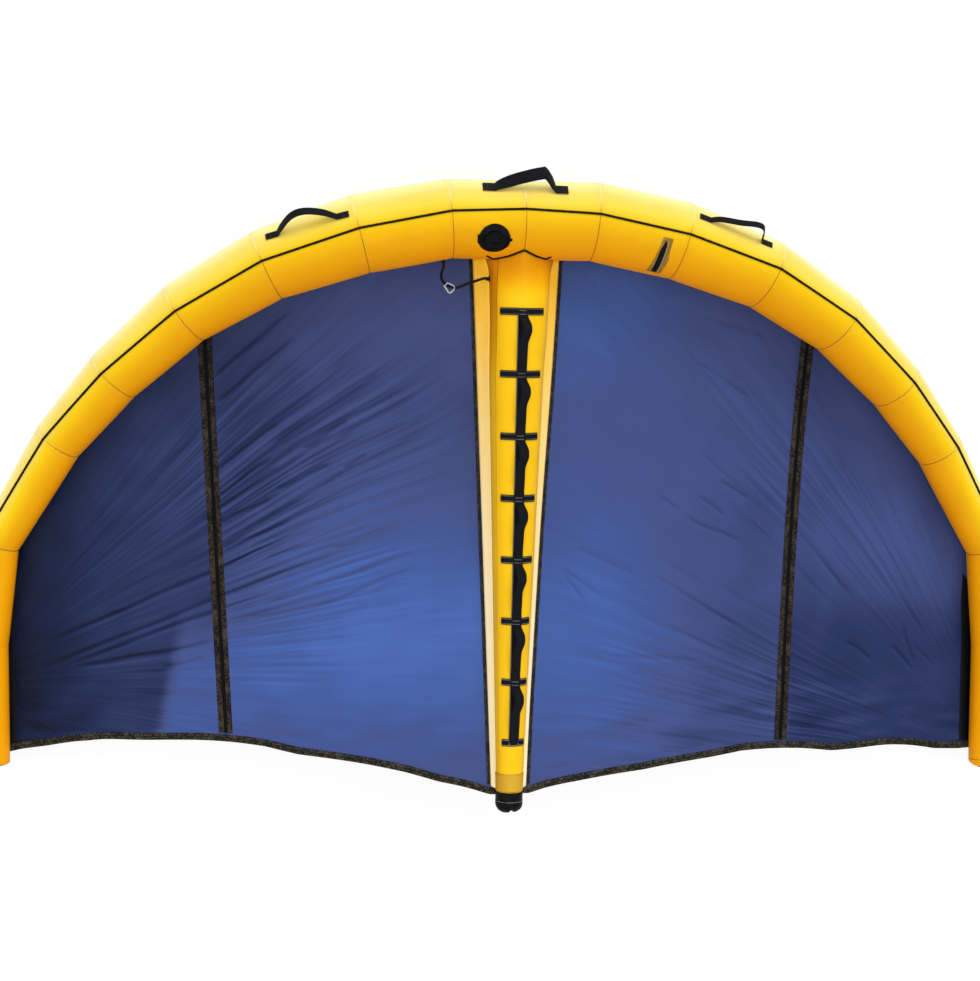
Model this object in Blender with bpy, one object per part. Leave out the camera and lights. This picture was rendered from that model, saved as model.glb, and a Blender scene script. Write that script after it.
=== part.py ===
"""Inflatable hand-held wing for foiling, lying with its handle side up.

+X runs to the wing's right tip, +Y to its leading edge, +Z away from the ground.
The wing is first laid out round the middle of its leading edge tube, and the
whole of it is then stood on the ground with the origin under its box.
"""

import math

import bmesh
import bpy
from mathutils import Matrix, Vector

# Unit of every length below, in metres
MM = 0.001

# Leading edge tube
HALF_SPAN = 1733 * MM
SWEEP = 1850 * MM
DIHEDRAL = 250 * MM
TUBE_RADIUS = 128 * MM
TIP_CAP_LENGTH = 34 * MM

# The tube's centre line at each panel seam, from the middle to the tip, in
# shares of half span, sweep, dihedral and middle radius
SEAM_SHARES = (
    (0.000, 0.000, 0.000, 0.990),
    (0.137, 0.000, 0.000, 1.000),
    (0.304, 0.030, 0.008, 1.010),
    (0.475, 0.087, 0.084, 0.920),
    (0.628, 0.174, 0.288, 0.832),
    (0.760, 0.288, 0.532, 0.743),
    (0.867, 0.409, 0.780, 0.641),
    (0.982, 0.596, 0.972, 0.539),
    (1.000, 0.784, 1.000, 0.490),
    (0.991, 1.000, 0.820, 0.438),
)
PANEL_ENDS = ((0, 1), (1, 2), (2, 3), (3, 4), (4, 5), (5, 6), (6, 7), (7, 9))
TUBE_SIDES = 24
BLADDER_SIDES = 12
# The turn at which the canopy leaves the tube: its lowest corner but one
CANOPY_TURN = -(180 - 180 / TUBE_SIDES)
# Tip cap rings, as shares of its length and of the tube's section
TIP_CAP_SHARES = ((0.0, 1.0), (0.35, 0.94), (0.65, 0.76), (0.88, 0.48), (1.0, 0.16))

# Strut
STRUT_LENGTH = 1887 * MM
STRUT_TOP = 82 * MM
STRUT_FRONT_RADIUS = 106 * MM
STRUT_TAIL_RADIUS = 43.5 * MM
STRUT_SADDLE = 20 * MM
END_CAP_LENGTH = 72 * MM
END_CAP_WALL = 1.8 * MM
END_CAP_BAND_SHARE = 0.42
END_CAP_TAPER_SHARE = 0.985
END_CAP_STEPS = 6
STRUT_BLADDER_SETBACK = 40 * MM
FITTING_LOOK_AHEAD = 20 * MM
FLAP_FOOT_SHARE = 1.42
FLAP_SETBACK = 6 * MM
FLAP_TAIL = 4 * MM

# Cloth and film
SLEEVE_WALL = 1.0 * MM
BLADDER_WALL = 0.6 * MM
CLOTH = 1.0 * MM
SEW_GAP = 0.3 * MM
SEAM_GAP = 0.3 * MM
MERGE_GAP = 0.02 * MM

# Canopy, from the strut to the tip
TRAILING_OVERHANG = 5 * MM
TRAILING_MIDDLE = STRUT_LENGTH + TRAILING_OVERHANG
TRAILING_RISE = 150 * MM
TRAILING_SHARES = (
    (0.036, 0.00), (0.120, 0.27), (0.278, 0.64), (0.432, 0.87), (0.550, 0.99),
    (0.690, 0.96), (0.820, 0.86), (0.964, 0.52),
)
CANOPY_STATIONS = (0.63, 1, 2, 3, 4, 5, 6, 7)
CANOPY_CHORD_SHARES = (0.0, 0.05, 0.14, 0.28, 0.46, 0.65, 0.83, 1.0)
FRONT_ROW_COUNT = 4
CANOPY_BILLOW = 75 * MM
BILLOW_POWER = 0.7
BILLOW_SHARES = (0.0, 0.30, 0.75, 1.0, 1.0, 0.8, 0.45, 0.0)
TRAILING_DROP_POWER = 1.3
INNER_COLUMN_COUNT = 4
BAND_WIDTH = 46 * MM
BAND_THICKNESS = 0.8 * MM
HEM_WIDTH = 24 * MM
HEM_THICKNESS = 2.4 * MM

# Webbing handles
STRAP_WIDTH = 34 * MM
STRAP_THICKNESS = 1.8 * MM
BASE_STRAP_SHARE = 0.9
BAR_FIRST = 294 * MM
BAR_LAST_TO_TAIL = 170.6 * MM
BAR_COUNT = 8
BAR_SPACING = (STRUT_LENGTH - BAR_FIRST - BAR_LAST_TO_TAIL) / (BAR_COUNT - 1)
BAR_LENGTH = 24 * MM
BAR_TURN = 46
BAR_THICKNESS = 2.4 * MM
LOOP_WIDTH = 32 * MM
LOOP_THICKNESS = 2.4 * MM
LOOP_RISE = 34 * MM
LOOP_LEAN = 11 * MM
LOOP_SHARES = (
    (0.0, 0.0), (0.07, 0.40), (0.18, 0.84), (0.33, 1.0), (0.52, 0.84),
    (0.74, 0.44), (0.90, 0.12), (1.0, 0.0),
)
GRIP_RISE = 54 * MM
GRIP_THICKNESS = 3.2 * MM
CENTRE_GRIP_WIDTH = 30 * MM
SIDE_GRIP_WIDTH = 20 * MM
GRIP_FOOT = 30 * MM
CENTRE_GRIP_REACH = 119 * MM
CENTRE_GRIP_TURN = 60
SIDE_GRIP_TURN = 45
SIDE_GRIP_STATIONS = (2.12, 2.82)
CENTRE_GRIP_SHARES = ((0.0, 0.0), (0.12, 0.32), (0.40, 0.78), (0.70, 1.0), (0.88, 0.86), (1.0, 0.0))
LEFT_GRIP_SHARES = ((0.0, 0.0), (0.10, 0.36), (0.34, 0.94), (0.56, 0.98), (0.84, 0.50), (1.0, 0.0))
RIGHT_GRIP_SHARES = ((0.0, 0.0), (0.16, 0.34), (0.50, 0.66), (0.80, 1.0), (0.93, 0.84), (1.0, 0.0))

# Piping cords
PIPING_RADIUS = 3 * MM
PIPING_TURNS = (16, 11, 9, 10, 14, 21, 31, 44, 52, 58)
JUNCTION_PIPING_RADIUS = 2.5 * MM
JUNCTION_REACH_TURN = 78
JUNCTION_STEPS = 12

# Inflation valve on the left front panel
VALVE_OFFSET = 101 * MM
VALVE_TURN = -30
FLANGE_RADIUS = 52 * MM
FLANGE_THICKNESS = 2.0 * MM
FLANGE_SPARE_TURN = 5
FLANGE_SIDES = 40
COLLAR_RADIUS = 31 * MM
COLLAR_RISE = 8 * MM
COLLAR_DEPTH = 36 * MM
BORE_RADIUS = 24.5 * MM
LEDGE_RADIUS = 13 * MM
LEDGE_DEPTH = 26 * MM
LEDGE_THICKNESS = 3 * MM
HUB_RADIUS = 5.5 * MM
HUB_RISE_SHARE = 0.1
SPOKE_WIDTH = 3 * MM
SPOKE_COUNT = 3
SPOKE_FIRST_TURN = 30
SPOKE_START_SHARE = 0.8
# Where a spoke's lower and upper faces lie in the ledge's thickness
SPOKE_SHARES = (0.2, 0.8)
CAP_RISE = 7 * MM
CAP_DEPTH = 6 * MM
CAP_RECESS_RADIUS = 19 * MM
CAP_RECESS_DEPTH = 5 * MM
FINGER_RADIUS = 17.5 * MM
FINGER_THICKNESS = 2.6 * MM
TAB_BARREL_SHARE = 1.02
# Half width, far side and near side of the tab's window, in tab radii
TAB_WINDOW_SHARES = (0.5, 0.72, 0.28)
PLUNGER_RADIUS = 17 * MM
PLUNGER_THICKNESS = 2.4 * MM
STEM_RADIUS = 2.2 * MM
STEM_HEAD_RADIUS = 6.5 * MM
STEM_HEAD_THICKNESS = 2 * MM
STEM_TOP_DEPTH = 8 * MM
SPRING_RADIUS = 4.6 * MM
SPRING_WIRE = 0.5 * MM
SPRING_TURNS = 5
SPRING_STEPS = 10
RUNNING_GAP = 0.3 * MM
TETHER_WIDTH = 9 * MM
TETHER_LENGTH = 27 * MM
TETHER_THICKNESS = 1.5 * MM

# Inflation hose between the two bladders
HOSE_RADIUS = 4.5 * MM
HOSE_STATION = 1.11
FITTING_STEM_RADIUS = 6 * MM
FITTING_FLANGE_RADIUS = 11.5 * MM
FITTING_FLANGE_THICKNESS = 2 * MM
FITTING_RISE = 12 * MM
FITTING_DEPTH = 9 * MM
FITTING_STRUT_REACH = 192 * MM
HOSE_POINTS = (
    (-259 * MM, -185 * MM, -11 * MM), (-249 * MM, -206 * MM, -22 * MM),
    (-230 * MM, -219 * MM, -30 * MM), (-205 * MM, -223 * MM, -34 * MM),
    (-168 * MM, -209 * MM, -32 * MM),
)
HOSE_STEPS = 7

# Pinch clamp that the hose runs through: a bent strip, open on its lower arm
CLAMP_WIDTH = 14 * MM
CLAMP_STRIP = 1.8 * MM
CLAMP_PLAY = 0.4 * MM
CLAMP_OUTLINE = (
    (-18 * MM, -6 * MM), (-16 * MM, 3 * MM), (-10 * MM, 9.5 * MM), (11 * MM, 9.0 * MM),
    (17 * MM, 4 * MM), (18.5 * MM, -5 * MM), (15 * MM, -14 * MM), (9.5 * MM, -20.5 * MM),
    (5.5 * MM, -20.5 * MM),
)
CLAMP_JAW_RADIUS = 1.6 * MM
CLAMP_JAW_PLACES = ((2 * MM, 7.2 * MM), (-6.5 * MM, -11.5 * MM))
CLAMP_JAW_SHARE = 0.9

# Bladder access zip on the right tube
ZIP_STATION = 1.75
ZIP_FACING_WIDTH = 47 * MM
ZIP_CHAIN_WIDTH = 18 * MM
ZIP_TURNS = (-68, -2)
ZIP_CHAIN_TURNS = (-64, -6)
ZIP_FACING_THICKNESS = 0.8 * MM
ZIP_CHAIN_THICKNESS = 1.8 * MM
ZIP_SLIDER_TURN = -22.5
ZIP_SLIDER_LENGTH = 15 * MM
ZIP_SLIDER_WIDTH = 10 * MM
ZIP_SLIDER_HEIGHT = 4.5 * MM
ZIP_PULL_LENGTH = 22 * MM
# The slider's waist: its rear and front ends in half lengths, its floor in heights
WAIST_SHARES = (0.55, 0.30, 0.62)
# The pull tab: half width and rear end in slider halves, underside and top in heights
PULL_SHARES = (0.5, 0.2, 0.5, 0.95)

CUT_OVERRUN = 20 * MM
ROUND_SIDES = 32
SMALL_SIDES = 20
STEM_SIDES = 12
# A patch's own end is no nearer than this, in degrees, to a corner of the tube
CORNER_SPARE_TURN = 1

MATERIALS = {
    "yellow_sleeve": ((0.98, 0.55, 0.01), 0.45, 0.0),
    "pale_sleeve": ((0.93, 0.72, 0.25), 0.5, 0.0),
    "blue_canopy": ((0.055, 0.09, 0.38), 0.55, 0.0),
    "navy_canopy": ((0.02, 0.03, 0.13), 0.55, 0.0),
    "black_webbing": ((0.012, 0.012, 0.016), 0.75, 0.0),
    "black_trim": ((0.02, 0.018, 0.016), 0.6, 0.0),
    "bladder_film": ((0.80, 0.82, 0.84), 0.25, 0.0),
    "black_plastic": ((0.015, 0.015, 0.017), 0.4, 0.0),
    "grey_plastic": ((0.16, 0.16, 0.17), 0.4, 0.0),
    "pale_plastic": ((0.70, 0.70, 0.68), 0.35, 0.0),
    "spring_steel": ((0.62, 0.62, 0.64), 0.3, 1.0),
}


def clear_scene():
    """Remove what a new file starts with."""
    for item in list(bpy.data.objects):
        bpy.data.objects.remove(item, do_unlink=True)


def make_materials():
    """Make one plain material for each finish."""
    made = {}
    for name, (colour, roughness, metallic) in MATERIALS.items():
        material = bpy.data.materials.new(name)
        material.use_nodes = True
        shader = material.node_tree.nodes["Principled BSDF"]
        shader.inputs["Base Color"].default_value = (*colour, 1.0)
        shader.inputs["Roughness"].default_value = roughness
        shader.inputs["Metallic"].default_value = metallic
        material.diffuse_color = (*colour, 1.0)
        made[name] = material
    return made


def new_collection(name):
    """Make a collection in the scene."""
    made = bpy.data.collections.new(name)
    bpy.context.scene.collection.children.link(made)
    return made


def object_from(bm, name, material, collection=None, faced=False):
    """Turn a bmesh into an object of the wing, facing outwards."""
    if not faced:
        bmesh.ops.recalc_face_normals(bm, faces=bm.faces)
        if bm.calc_volume(signed=True) < 0:
            bmesh.ops.reverse_faces(bm, faces=bm.faces)
    mesh = bpy.data.meshes.new(name)
    bm.to_mesh(mesh)
    bm.free()
    if material:
        own = MADE[material].copy()
        own.name = name
        mesh.materials.append(own)
    made = bpy.data.objects.new(name, mesh)
    (collection or WING).objects.link(made)
    made.parent = STAND
    return made


def smooth(made, angle=40):
    """Shade a rounded piece smooth, except at its real edges."""
    made.data.shade_smooth()
    made.data.set_sharp_from_angle(angle=math.radians(angle))
    return made


def as_cutter(made):
    """Keep an object only as a tool for a Boolean."""
    made.hide_render = True
    made.display_type = "WIRE"
    return made


def boolean(made, tool, operation):
    """Cut, join or intersect a piece with a tool object."""
    step = made.modifiers.new(operation.lower(), "BOOLEAN")
    step.operation = operation
    step.solver = "EXACT"
    step.object = tool
    return step


def loft(name, sections, material, collection=None):
    """Join rings of points, each with as many points as the next, and close both ends."""
    bm = bmesh.new()
    rings = [[bm.verts.new(point) for point in section] for section in sections]
    for ring, after in zip(rings, rings[1:]):
        join_rings(bm, ring, after)
    bm.faces.new(rings[0])
    bm.faces.new(rings[-1])
    return object_from(bm, name, material, collection)


def join_rings(bm, ring, after):
    """Make the faces between two rings of vertices."""
    made = []
    for index in range(len(ring)):
        following = (index + 1) % len(ring)
        made.append(bm.faces.new((ring[index], ring[following], after[following], after[index])))
    return made


def wall(name, outer, inner, material):
    """Make a hollow tube with open ends from its outer and inner rings."""
    bm = bmesh.new()
    loops = list(outer) + list(reversed(inner))
    rings = [[bm.verts.new(point) for point in section] for section in loops]
    for ring, after in zip(rings, rings[1:] + rings[:1]):
        join_rings(bm, ring, after)
    return object_from(bm, name, material)


def sheet(name, top, thickness, material):
    """Make a cloth of a given thickness under a grid of points."""
    bm = bmesh.new()
    grid = [[bm.verts.new(point) for point in row] for row in top]
    for row, after in zip(grid, grid[1:]):
        for column in range(len(row) - 1):
            bm.faces.new((row[column], row[column + 1], after[column + 1], after[column]))
    made = bmesh.ops.extrude_face_region(bm, geom=bm.faces[:])
    moved = [item for item in made["geom"] if isinstance(item, bmesh.types.BMVert)]
    bmesh.ops.translate(bm, verts=moved, vec=(0, 0, -thickness))
    return object_from(bm, name, material)


def facet_factor(turn):
    """How far a flat-sided ring's edge lies from its axis, over its corners' radius."""
    half = math.pi / TUBE_SIDES
    off = (math.radians(turn) + half) % (2 * half) - half
    return math.cos(half) / math.cos(off)


def seam_centre(station):
    """The tube's centre at a seam."""
    along, back, down, _ = SEAM_SHARES[station]
    return Vector((along * HALF_SPAN, -back * SWEEP, -down * DIHEDRAL))


def seam_radius(station):
    """The tube's radius at a seam."""
    return SEAM_SHARES[station][3] * TUBE_RADIUS


def seam_frame(station):
    """Along, up and outward at a seam, and the bend that its mitre stretches."""
    here = seam_centre(station)
    last = len(SEAM_SHARES) - 1
    if station == 0:
        along = Vector((1, 0, 0))
        bend, stretch = Vector((0, 1, 0)), 1.0
    elif station == last:
        along = (here - seam_centre(last - 1)).normalized()
        bend, stretch = Vector((0, 0, 1)), 1.0
    else:
        before = (here - seam_centre(station - 1)).normalized()
        after = (seam_centre(station + 1) - here).normalized()
        along = (before + after).normalized()
        bend = (after - before).normalized()
        stretch = 1 / before.dot(along)
    up = (Vector((0, 0, 1)) - along * along.z).normalized()
    return along, up, up.cross(along), bend, stretch


def seam_point(station, turn, lift):
    """A point over the tube's flat-sided surface, in the mitre of a seam."""
    _, up, out, bend, stretch = seam_frame(station)
    reach = (seam_radius(station) + lift) * facet_factor(turn)
    angle = math.radians(turn)
    arm = (up * math.cos(angle) + out * math.sin(angle)) * reach
    arm += bend * arm.dot(bend) * (stretch - 1)
    return seam_centre(station) + arm


def mirrored(point, side):
    """The point on the wing's right side, or its twin on the left."""
    return Vector((side * point.x, point.y, point.z))


def tube_point(side, station, turn, lift):
    """A point over the leading edge tube at any place along it."""
    low = min(int(station), len(SEAM_SHARES) - 2)
    share = station - low
    start = seam_point(low, turn, lift)
    end = seam_point(low + 1, turn, lift)
    return mirrored(start.lerp(end, share), side)


def tube_centre(side, station):
    """The tube's centre at any place along it."""
    low = min(int(station), len(SEAM_SHARES) - 2)
    return mirrored(seam_centre(low).lerp(seam_centre(low + 1), station - low), side)


def tube_along(side, station):
    """The direction square to the tube's section at any place along it."""
    low = min(int(station), len(SEAM_SHARES) - 2)
    start, end = seam_frame(low)[0], seam_frame(low + 1)[0]
    return mirrored(start.lerp(end, station - low).normalized(), side)


def tube_normal(side, station, turn):
    """The outward direction of the tube's facet at a place."""
    low = min(int(station), len(SEAM_SHARES) - 2)
    step = 360 / TUBE_SIDES
    middle = round(turn / step) * step
    ahead = seam_point(low + 1, middle, 0) - seam_point(low, middle, 0)
    across = seam_point(low, middle + step / 3, 0) - seam_point(low, middle - step / 3, 0)
    normal = across.cross(ahead).normalized()
    away = tube_point(1, station, middle, 0) - tube_centre(1, station)
    if normal.dot(away) < 0:
        normal = -normal
    return mirrored(normal, side)


def front_station(across, turn):
    """The place along the first panel whose surface lies at a distance from the middle."""
    return across / seam_point(1, turn, 0).x


def ring_turns(sides=TUBE_SIDES):
    """The corners of a flat-sided ring, with a facet square to the top."""
    corner = 180 / TUBE_SIDES
    return [corner + 360 * index / sides for index in range(sides)]


def tube_ring(side, station, lift, shift, sides=TUBE_SIDES):
    """A ring of the tube at a seam, moved along the tube by a shift."""
    move = seam_frame(station)[0] * shift
    return [mirrored(seam_point(station, turn, lift) + move, side) for turn in ring_turns(sides)]


def side_name(side):
    """The word for a side of the wing."""
    return "right" if side > 0 else "left"


def add_cylinder(name, radius, depth_low, depth_high, matrix, material=None, collection=None,
                 sides=ROUND_SIDES, top_radius=None):
    """Add a round bar or cone between two heights of a local frame."""
    bm = bmesh.new()
    bmesh.ops.create_cone(
        bm, cap_ends=True, segments=sides, radius1=radius,
        radius2=radius if top_radius is None else top_radius, depth=depth_high - depth_low,
    )
    bmesh.ops.translate(bm, verts=bm.verts, vec=(0, 0, (depth_low + depth_high) / 2))
    bm.transform(matrix)
    return object_from(bm, name, material, collection)


def add_box(name, low, high, matrix, material=None, collection=None):
    """Add a box between two corners of a local frame."""
    bm = bmesh.new()
    bmesh.ops.create_cube(bm, size=1)
    low, high = Vector(low), Vector(high)
    bmesh.ops.scale(bm, verts=bm.verts, vec=high - low)
    bmesh.ops.translate(bm, verts=bm.verts, vec=(low + high) / 2)
    bm.transform(matrix)
    return object_from(bm, name, material, collection)


def frame_at(origin, normal, along):
    """A local frame with its Z on a normal and its X nearest a direction."""
    up = normal.normalized()
    first = (along - up * along.dot(up)).normalized()
    second = up.cross(first)
    turned = Matrix((first, second, up)).transposed().to_4x4()
    return Matrix.Translation(origin) @ turned


def valve_frame():
    """The valve's frame: origin on the sleeve, Z outwards, X along the tube."""
    station = front_station(VALVE_OFFSET, VALVE_TURN)
    origin = tube_point(-1, station, VALVE_TURN, 0)
    return frame_at(origin, tube_normal(-1, station, VALVE_TURN), Vector((1, 0, 0)))


def tube_fitting_frame():
    """The hose fitting on the leading edge: Z outwards."""
    origin = tube_point(-1, HOSE_STATION, -90, 0)
    return frame_at(origin, tube_normal(-1, HOSE_STATION, -90), Vector((1, 0, 0)))


def strut_radius(back):
    """The strut's radius at a distance behind the tube's centre."""
    share = back / STRUT_LENGTH
    return STRUT_FRONT_RADIUS + (STRUT_TAIL_RADIUS - STRUT_FRONT_RADIUS) * share


def strut_height(back):
    """The height of the strut's centre, under its level top."""
    return STRUT_TOP - strut_radius(back) * facet_factor(0)


def strut_point(back, turn, lift):
    """A point over the strut's flat-sided surface. Positive turns go right."""
    reach = (strut_radius(back) + lift) * facet_factor(turn)
    angle = math.radians(turn)
    return Vector((reach * math.sin(angle), -back, strut_height(back) + reach * math.cos(angle)))


def strut_ring(back, lift, sides=TUBE_SIDES):
    """A ring of the strut."""
    return [strut_point(back, turn, lift) for turn in ring_turns(sides)]


def strut_bottom(back):
    """The height of the strut's lowest facet."""
    return STRUT_TOP - 2 * strut_radius(back) * facet_factor(0)


def strut_fitting_frame():
    """The hose fitting on the strut's left side: Z outwards."""
    here = strut_point(FITTING_STRUT_REACH, -90, 0)
    ahead = strut_point(FITTING_STRUT_REACH - FITTING_LOOK_AHEAD, -90, 0) - here
    normal = ahead.cross(Vector((0, 0, 1))).normalized()
    if normal.x > 0:
        normal = -normal
    return frame_at(here, normal, Vector((0, 1, 0)))


def make_tube_panels(openings):
    """Sew the leading edge sleeve from short, nearly straight panels."""
    cuts = {(-1, 1): "cut_valve", (-1, 2): "cut_tube_fitting"}
    for side in (1, -1):
        for number, (first, last) in enumerate(PANEL_ENDS, 1):
            outer, inner = [], []
            for station in range(first, last + 1):
                shift = 0.0
                if station == first:
                    shift = SEAM_GAP / 2
                elif station == last:
                    shift = -SEAM_GAP / 2
                outer.append(tube_ring(side, station, 0, shift))
                inner.append(tube_ring(side, station, -SLEEVE_WALL, shift))
            name = f"leading_edge_panel_{side_name(side)}_{number}"
            panel = smooth(wall(name, outer, inner, "yellow_sleeve"), 30)
            if (side, number) in cuts:
                boolean(panel, openings[cuts[side, number]], "DIFFERENCE")


def make_openings():
    """The tools for the holes that the valve and the hose fittings pass through."""
    reach = SLEEVE_WALL + CUT_OVERRUN
    places = {
        "cut_valve": (COLLAR_RADIUS, valve_frame()),
        "cut_tube_fitting": (FITTING_STEM_RADIUS, tube_fitting_frame()),
        "cut_strut_fitting": (FITTING_STEM_RADIUS, strut_fitting_frame()),
    }
    return {
        name: as_cutter(add_cylinder(name, radius + SEW_GAP, -reach, reach, frame, collection=CUTTERS))
        for name, (radius, frame) in places.items()
    }


def make_tip_caps():
    """Close each tip with a short rounded cap, open to the tube."""
    last = len(SEAM_SHARES) - 1
    along = seam_frame(last)[0]
    for side in (1, -1):
        centre = mirrored(seam_centre(last), side)
        direction = mirrored(along, side)
        layers = []
        for lift, length in ((0, TIP_CAP_LENGTH), (-SLEEVE_WALL, TIP_CAP_LENGTH - SLEEVE_WALL)):
            ring = tube_ring(side, last, lift, 0)
            rings = []
            for reach_share, width_share in TIP_CAP_SHARES:
                start = centre + direction * (SEAM_GAP / 2 + reach_share * length)
                rings.append([start + (point - centre) * width_share for point in ring])
            layers.append(rings)
        outer, inner = layers
        smooth(loft(f"tip_cap_{side_name(side)}", outer[::-1] + inner, "black_trim"), 60)


def make_tube_bladder(openings):
    """One long bladder inside the leading edge sleeve."""
    last = len(SEAM_SHARES) - 1
    stations = [(-1, station) for station in range(last, 0, -1)]
    stations += [(1, station) for station in range(last + 1)]
    lift = -(SLEEVE_WALL + SEW_GAP)
    layers = []
    for depth, setback in ((lift, SEAM_GAP), (lift - BLADDER_WALL, SEAM_GAP + BLADDER_WALL)):
        rings = []
        for side, station in stations:
            shift = -setback if station == last else 0.0
            rings.append(tube_ring(side, station, depth, shift, BLADDER_SIDES))
        layers.append(rings)
    film = hollow("leading_edge_bladder", *layers, "bladder_film")
    boolean(film, openings["cut_valve"], "DIFFERENCE")
    boolean(film, openings["cut_tube_fitting"], "DIFFERENCE")
    smooth(film, 30)


def hollow(name, outer, inner, material):
    """Make a closed shell round a closed hollow, to be opened by a later cut."""
    bm = bmesh.new()
    for rings, inside in ((outer, False), (inner, True)):
        made = [[bm.verts.new(point) for point in ring] for ring in rings]
        faces = [face for ring, after in zip(made, made[1:]) for face in join_rings(bm, ring, after)]
        faces.append(bm.faces.new(made[0]))
        faces.append(bm.faces.new(made[-1]))
        bmesh.ops.recalc_face_normals(bm, faces=faces)
        if inside:
            bmesh.ops.reverse_faces(bm, faces=faces)
    return object_from(bm, name, material, faced=True)


def make_strut(openings):
    """The strut's tapered sleeve, saddled on the tube, with its bladder and end cap."""
    backs = (STRUT_SADDLE, STRUT_LENGTH)
    outer = [strut_ring(back, 0) for back in backs]
    inner = [strut_ring(back, -SLEEVE_WALL) for back in backs]
    sleeve = smooth(wall("strut_sleeve", outer, inner, "yellow_sleeve"), 30)
    rings = [tube_ring(side, station, SEW_GAP, 0) for side, station in ((-1, 1), (1, 0), (1, 1))]
    saddle = as_cutter(loft("cut_strut_saddle", rings, None, collection=CUTTERS))
    boolean(sleeve, saddle, "DIFFERENCE")
    boolean(sleeve, openings["cut_strut_fitting"], "DIFFERENCE")

    lift = -(SLEEVE_WALL + SEW_GAP)
    front = TUBE_RADIUS + STRUT_BLADDER_SETBACK
    tail = STRUT_LENGTH - SEAM_GAP
    skin = [strut_ring(back, lift, BLADDER_SIDES) for back in (front, tail)]
    lining = [
        strut_ring(back, lift - BLADDER_WALL, BLADDER_SIDES)
        for back in (front + BLADDER_WALL, tail - BLADDER_WALL)
    ]
    film = hollow("strut_bladder", skin, lining, "bladder_film")
    boolean(film, openings["cut_strut_fitting"], "DIFFERENCE")
    smooth(film, 30)
    make_end_cap()


def make_end_cap():
    """The rounded cup sewn over the strut's tail, turned about the strut's line."""
    radius = STRUT_TAIL_RADIUS * facet_factor(0)
    band = END_CAP_LENGTH * END_CAP_BAND_SHARE
    dome = END_CAP_LENGTH - band
    quarter = math.pi / 2
    outline = [(radius, 0.0), (radius * END_CAP_TAPER_SHARE, band)]
    for step in range(1, END_CAP_STEPS):
        angle = quarter * step / END_CAP_STEPS
        across = radius * END_CAP_TAPER_SHARE * math.cos(angle)
        outline.append((across, band + dome * math.sin(angle)))
    outline += [(0.0, END_CAP_LENGTH), (0.0, END_CAP_LENGTH - END_CAP_WALL)]
    inner_radius = radius - END_CAP_WALL
    for step in range(END_CAP_STEPS - 1, 0, -1):
        angle = quarter * step / END_CAP_STEPS
        across = inner_radius * END_CAP_TAPER_SHARE * math.cos(angle)
        outline.append((across, band + (dome - END_CAP_WALL) * math.sin(angle)))
    outline += [(inner_radius * END_CAP_TAPER_SHARE, band), (inner_radius, 0.0)]
    centre = Vector((0, -STRUT_LENGTH - SEAM_GAP, strut_height(STRUT_LENGTH)))
    bm = bmesh.new()
    verts = [bm.verts.new(centre + Vector((across, -along, 0))) for across, along in outline]
    edges = [bm.edges.new(pair) for pair in zip(verts, verts[1:] + verts[:1])]
    bmesh.ops.spin(
        bm, geom=edges + verts, cent=centre, axis=(0, 1, 0), angle=2 * math.pi, steps=TUBE_SIDES,
        use_merge=True, use_duplicate=False,
    )
    bmesh.ops.remove_doubles(bm, verts=bm.verts, dist=MERGE_GAP)
    bmesh.ops.dissolve_degenerate(bm, edges=bm.edges, dist=MERGE_GAP)
    smooth(object_from(bm, "strut_end_cap", "black_trim"), 50)


def make_flaps():
    """The two cloth flaps that hang the strut on the canopy."""
    front = TUBE_RADIUS + FLAP_SETBACK
    tail = STRUT_LENGTH - FLAP_TAIL
    corner = 90 + 180 / TUBE_SIDES
    for side in (1, -1):
        sections = []
        for back in (front, tail):
            radius = strut_radius(back)
            high = strut_point(back, side * corner, SEW_GAP * 2)
            low = Vector((side * FLAP_FOOT_SHARE * radius, -back, canopy_keel(back) + SEW_GAP))
            out = Vector((side * CLOTH, 0, 0))
            sections.append([high, high + out, low + out, low])
        loft(f"strut_flap_{side_name(side)}", sections, "pale_sleeve")


def canopy_keel(back):
    """The height of the canopy's upper face under the strut."""
    front = -seam_radius(0) * facet_factor(0)
    start = min(front, strut_bottom(STRUT_SADDLE)) - SEW_GAP
    end = strut_bottom(STRUT_LENGTH) - SEW_GAP
    share = (back - STRUT_SADDLE) / (STRUT_LENGTH - STRUT_SADDLE)
    return start + (end - start) * share


def flap_foot(back):
    """How far from the middle a flap meets the canopy."""
    return FLAP_FOOT_SHARE * strut_radius(back) + CLOTH


def trailing_point(share_along, share_rise):
    """A point of the trailing edge of the right half."""
    across = share_along * HALF_SPAN
    back = TRAILING_MIDDLE - share_rise * TRAILING_RISE
    tip = seam_point(len(SEAM_SHARES) - 1, CANOPY_TURN, SEW_GAP)
    start = canopy_keel(STRUT_LENGTH)
    reach = (across / tip.x) ** TRAILING_DROP_POWER
    return Vector((across, -back, start + (tip.z - start) * reach))


def canopy_front(column):
    """Where a column of the canopy meets the tube."""
    station = CANOPY_STATIONS[column]
    point = tube_point(1, station, CANOPY_TURN, SEW_GAP)
    if column == 0:
        back = -point.y
        return Vector((flap_foot(back), point.y, canopy_keel(back)))
    return point


def canopy_column(column):
    """The points of one column of the right half, from the tube to the trailing edge."""
    last = len(CANOPY_STATIONS) - 1
    start = canopy_front(column)
    points = []
    for share in CANOPY_CHORD_SHARES:
        if column == last:
            point = tip_edge_point(start, share)
        else:
            point = start.lerp(trailing_point(*TRAILING_SHARES[column]), share)
        if column == 0:
            back = -point.y
            point = Vector((flap_foot(back), point.y, canopy_keel(back)))
        fill = BILLOW_SHARES[column] * math.sin(math.pi * share ** BILLOW_POWER)
        points.append(point + Vector((0, 0, -CANOPY_BILLOW * fill)))
    return points


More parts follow.
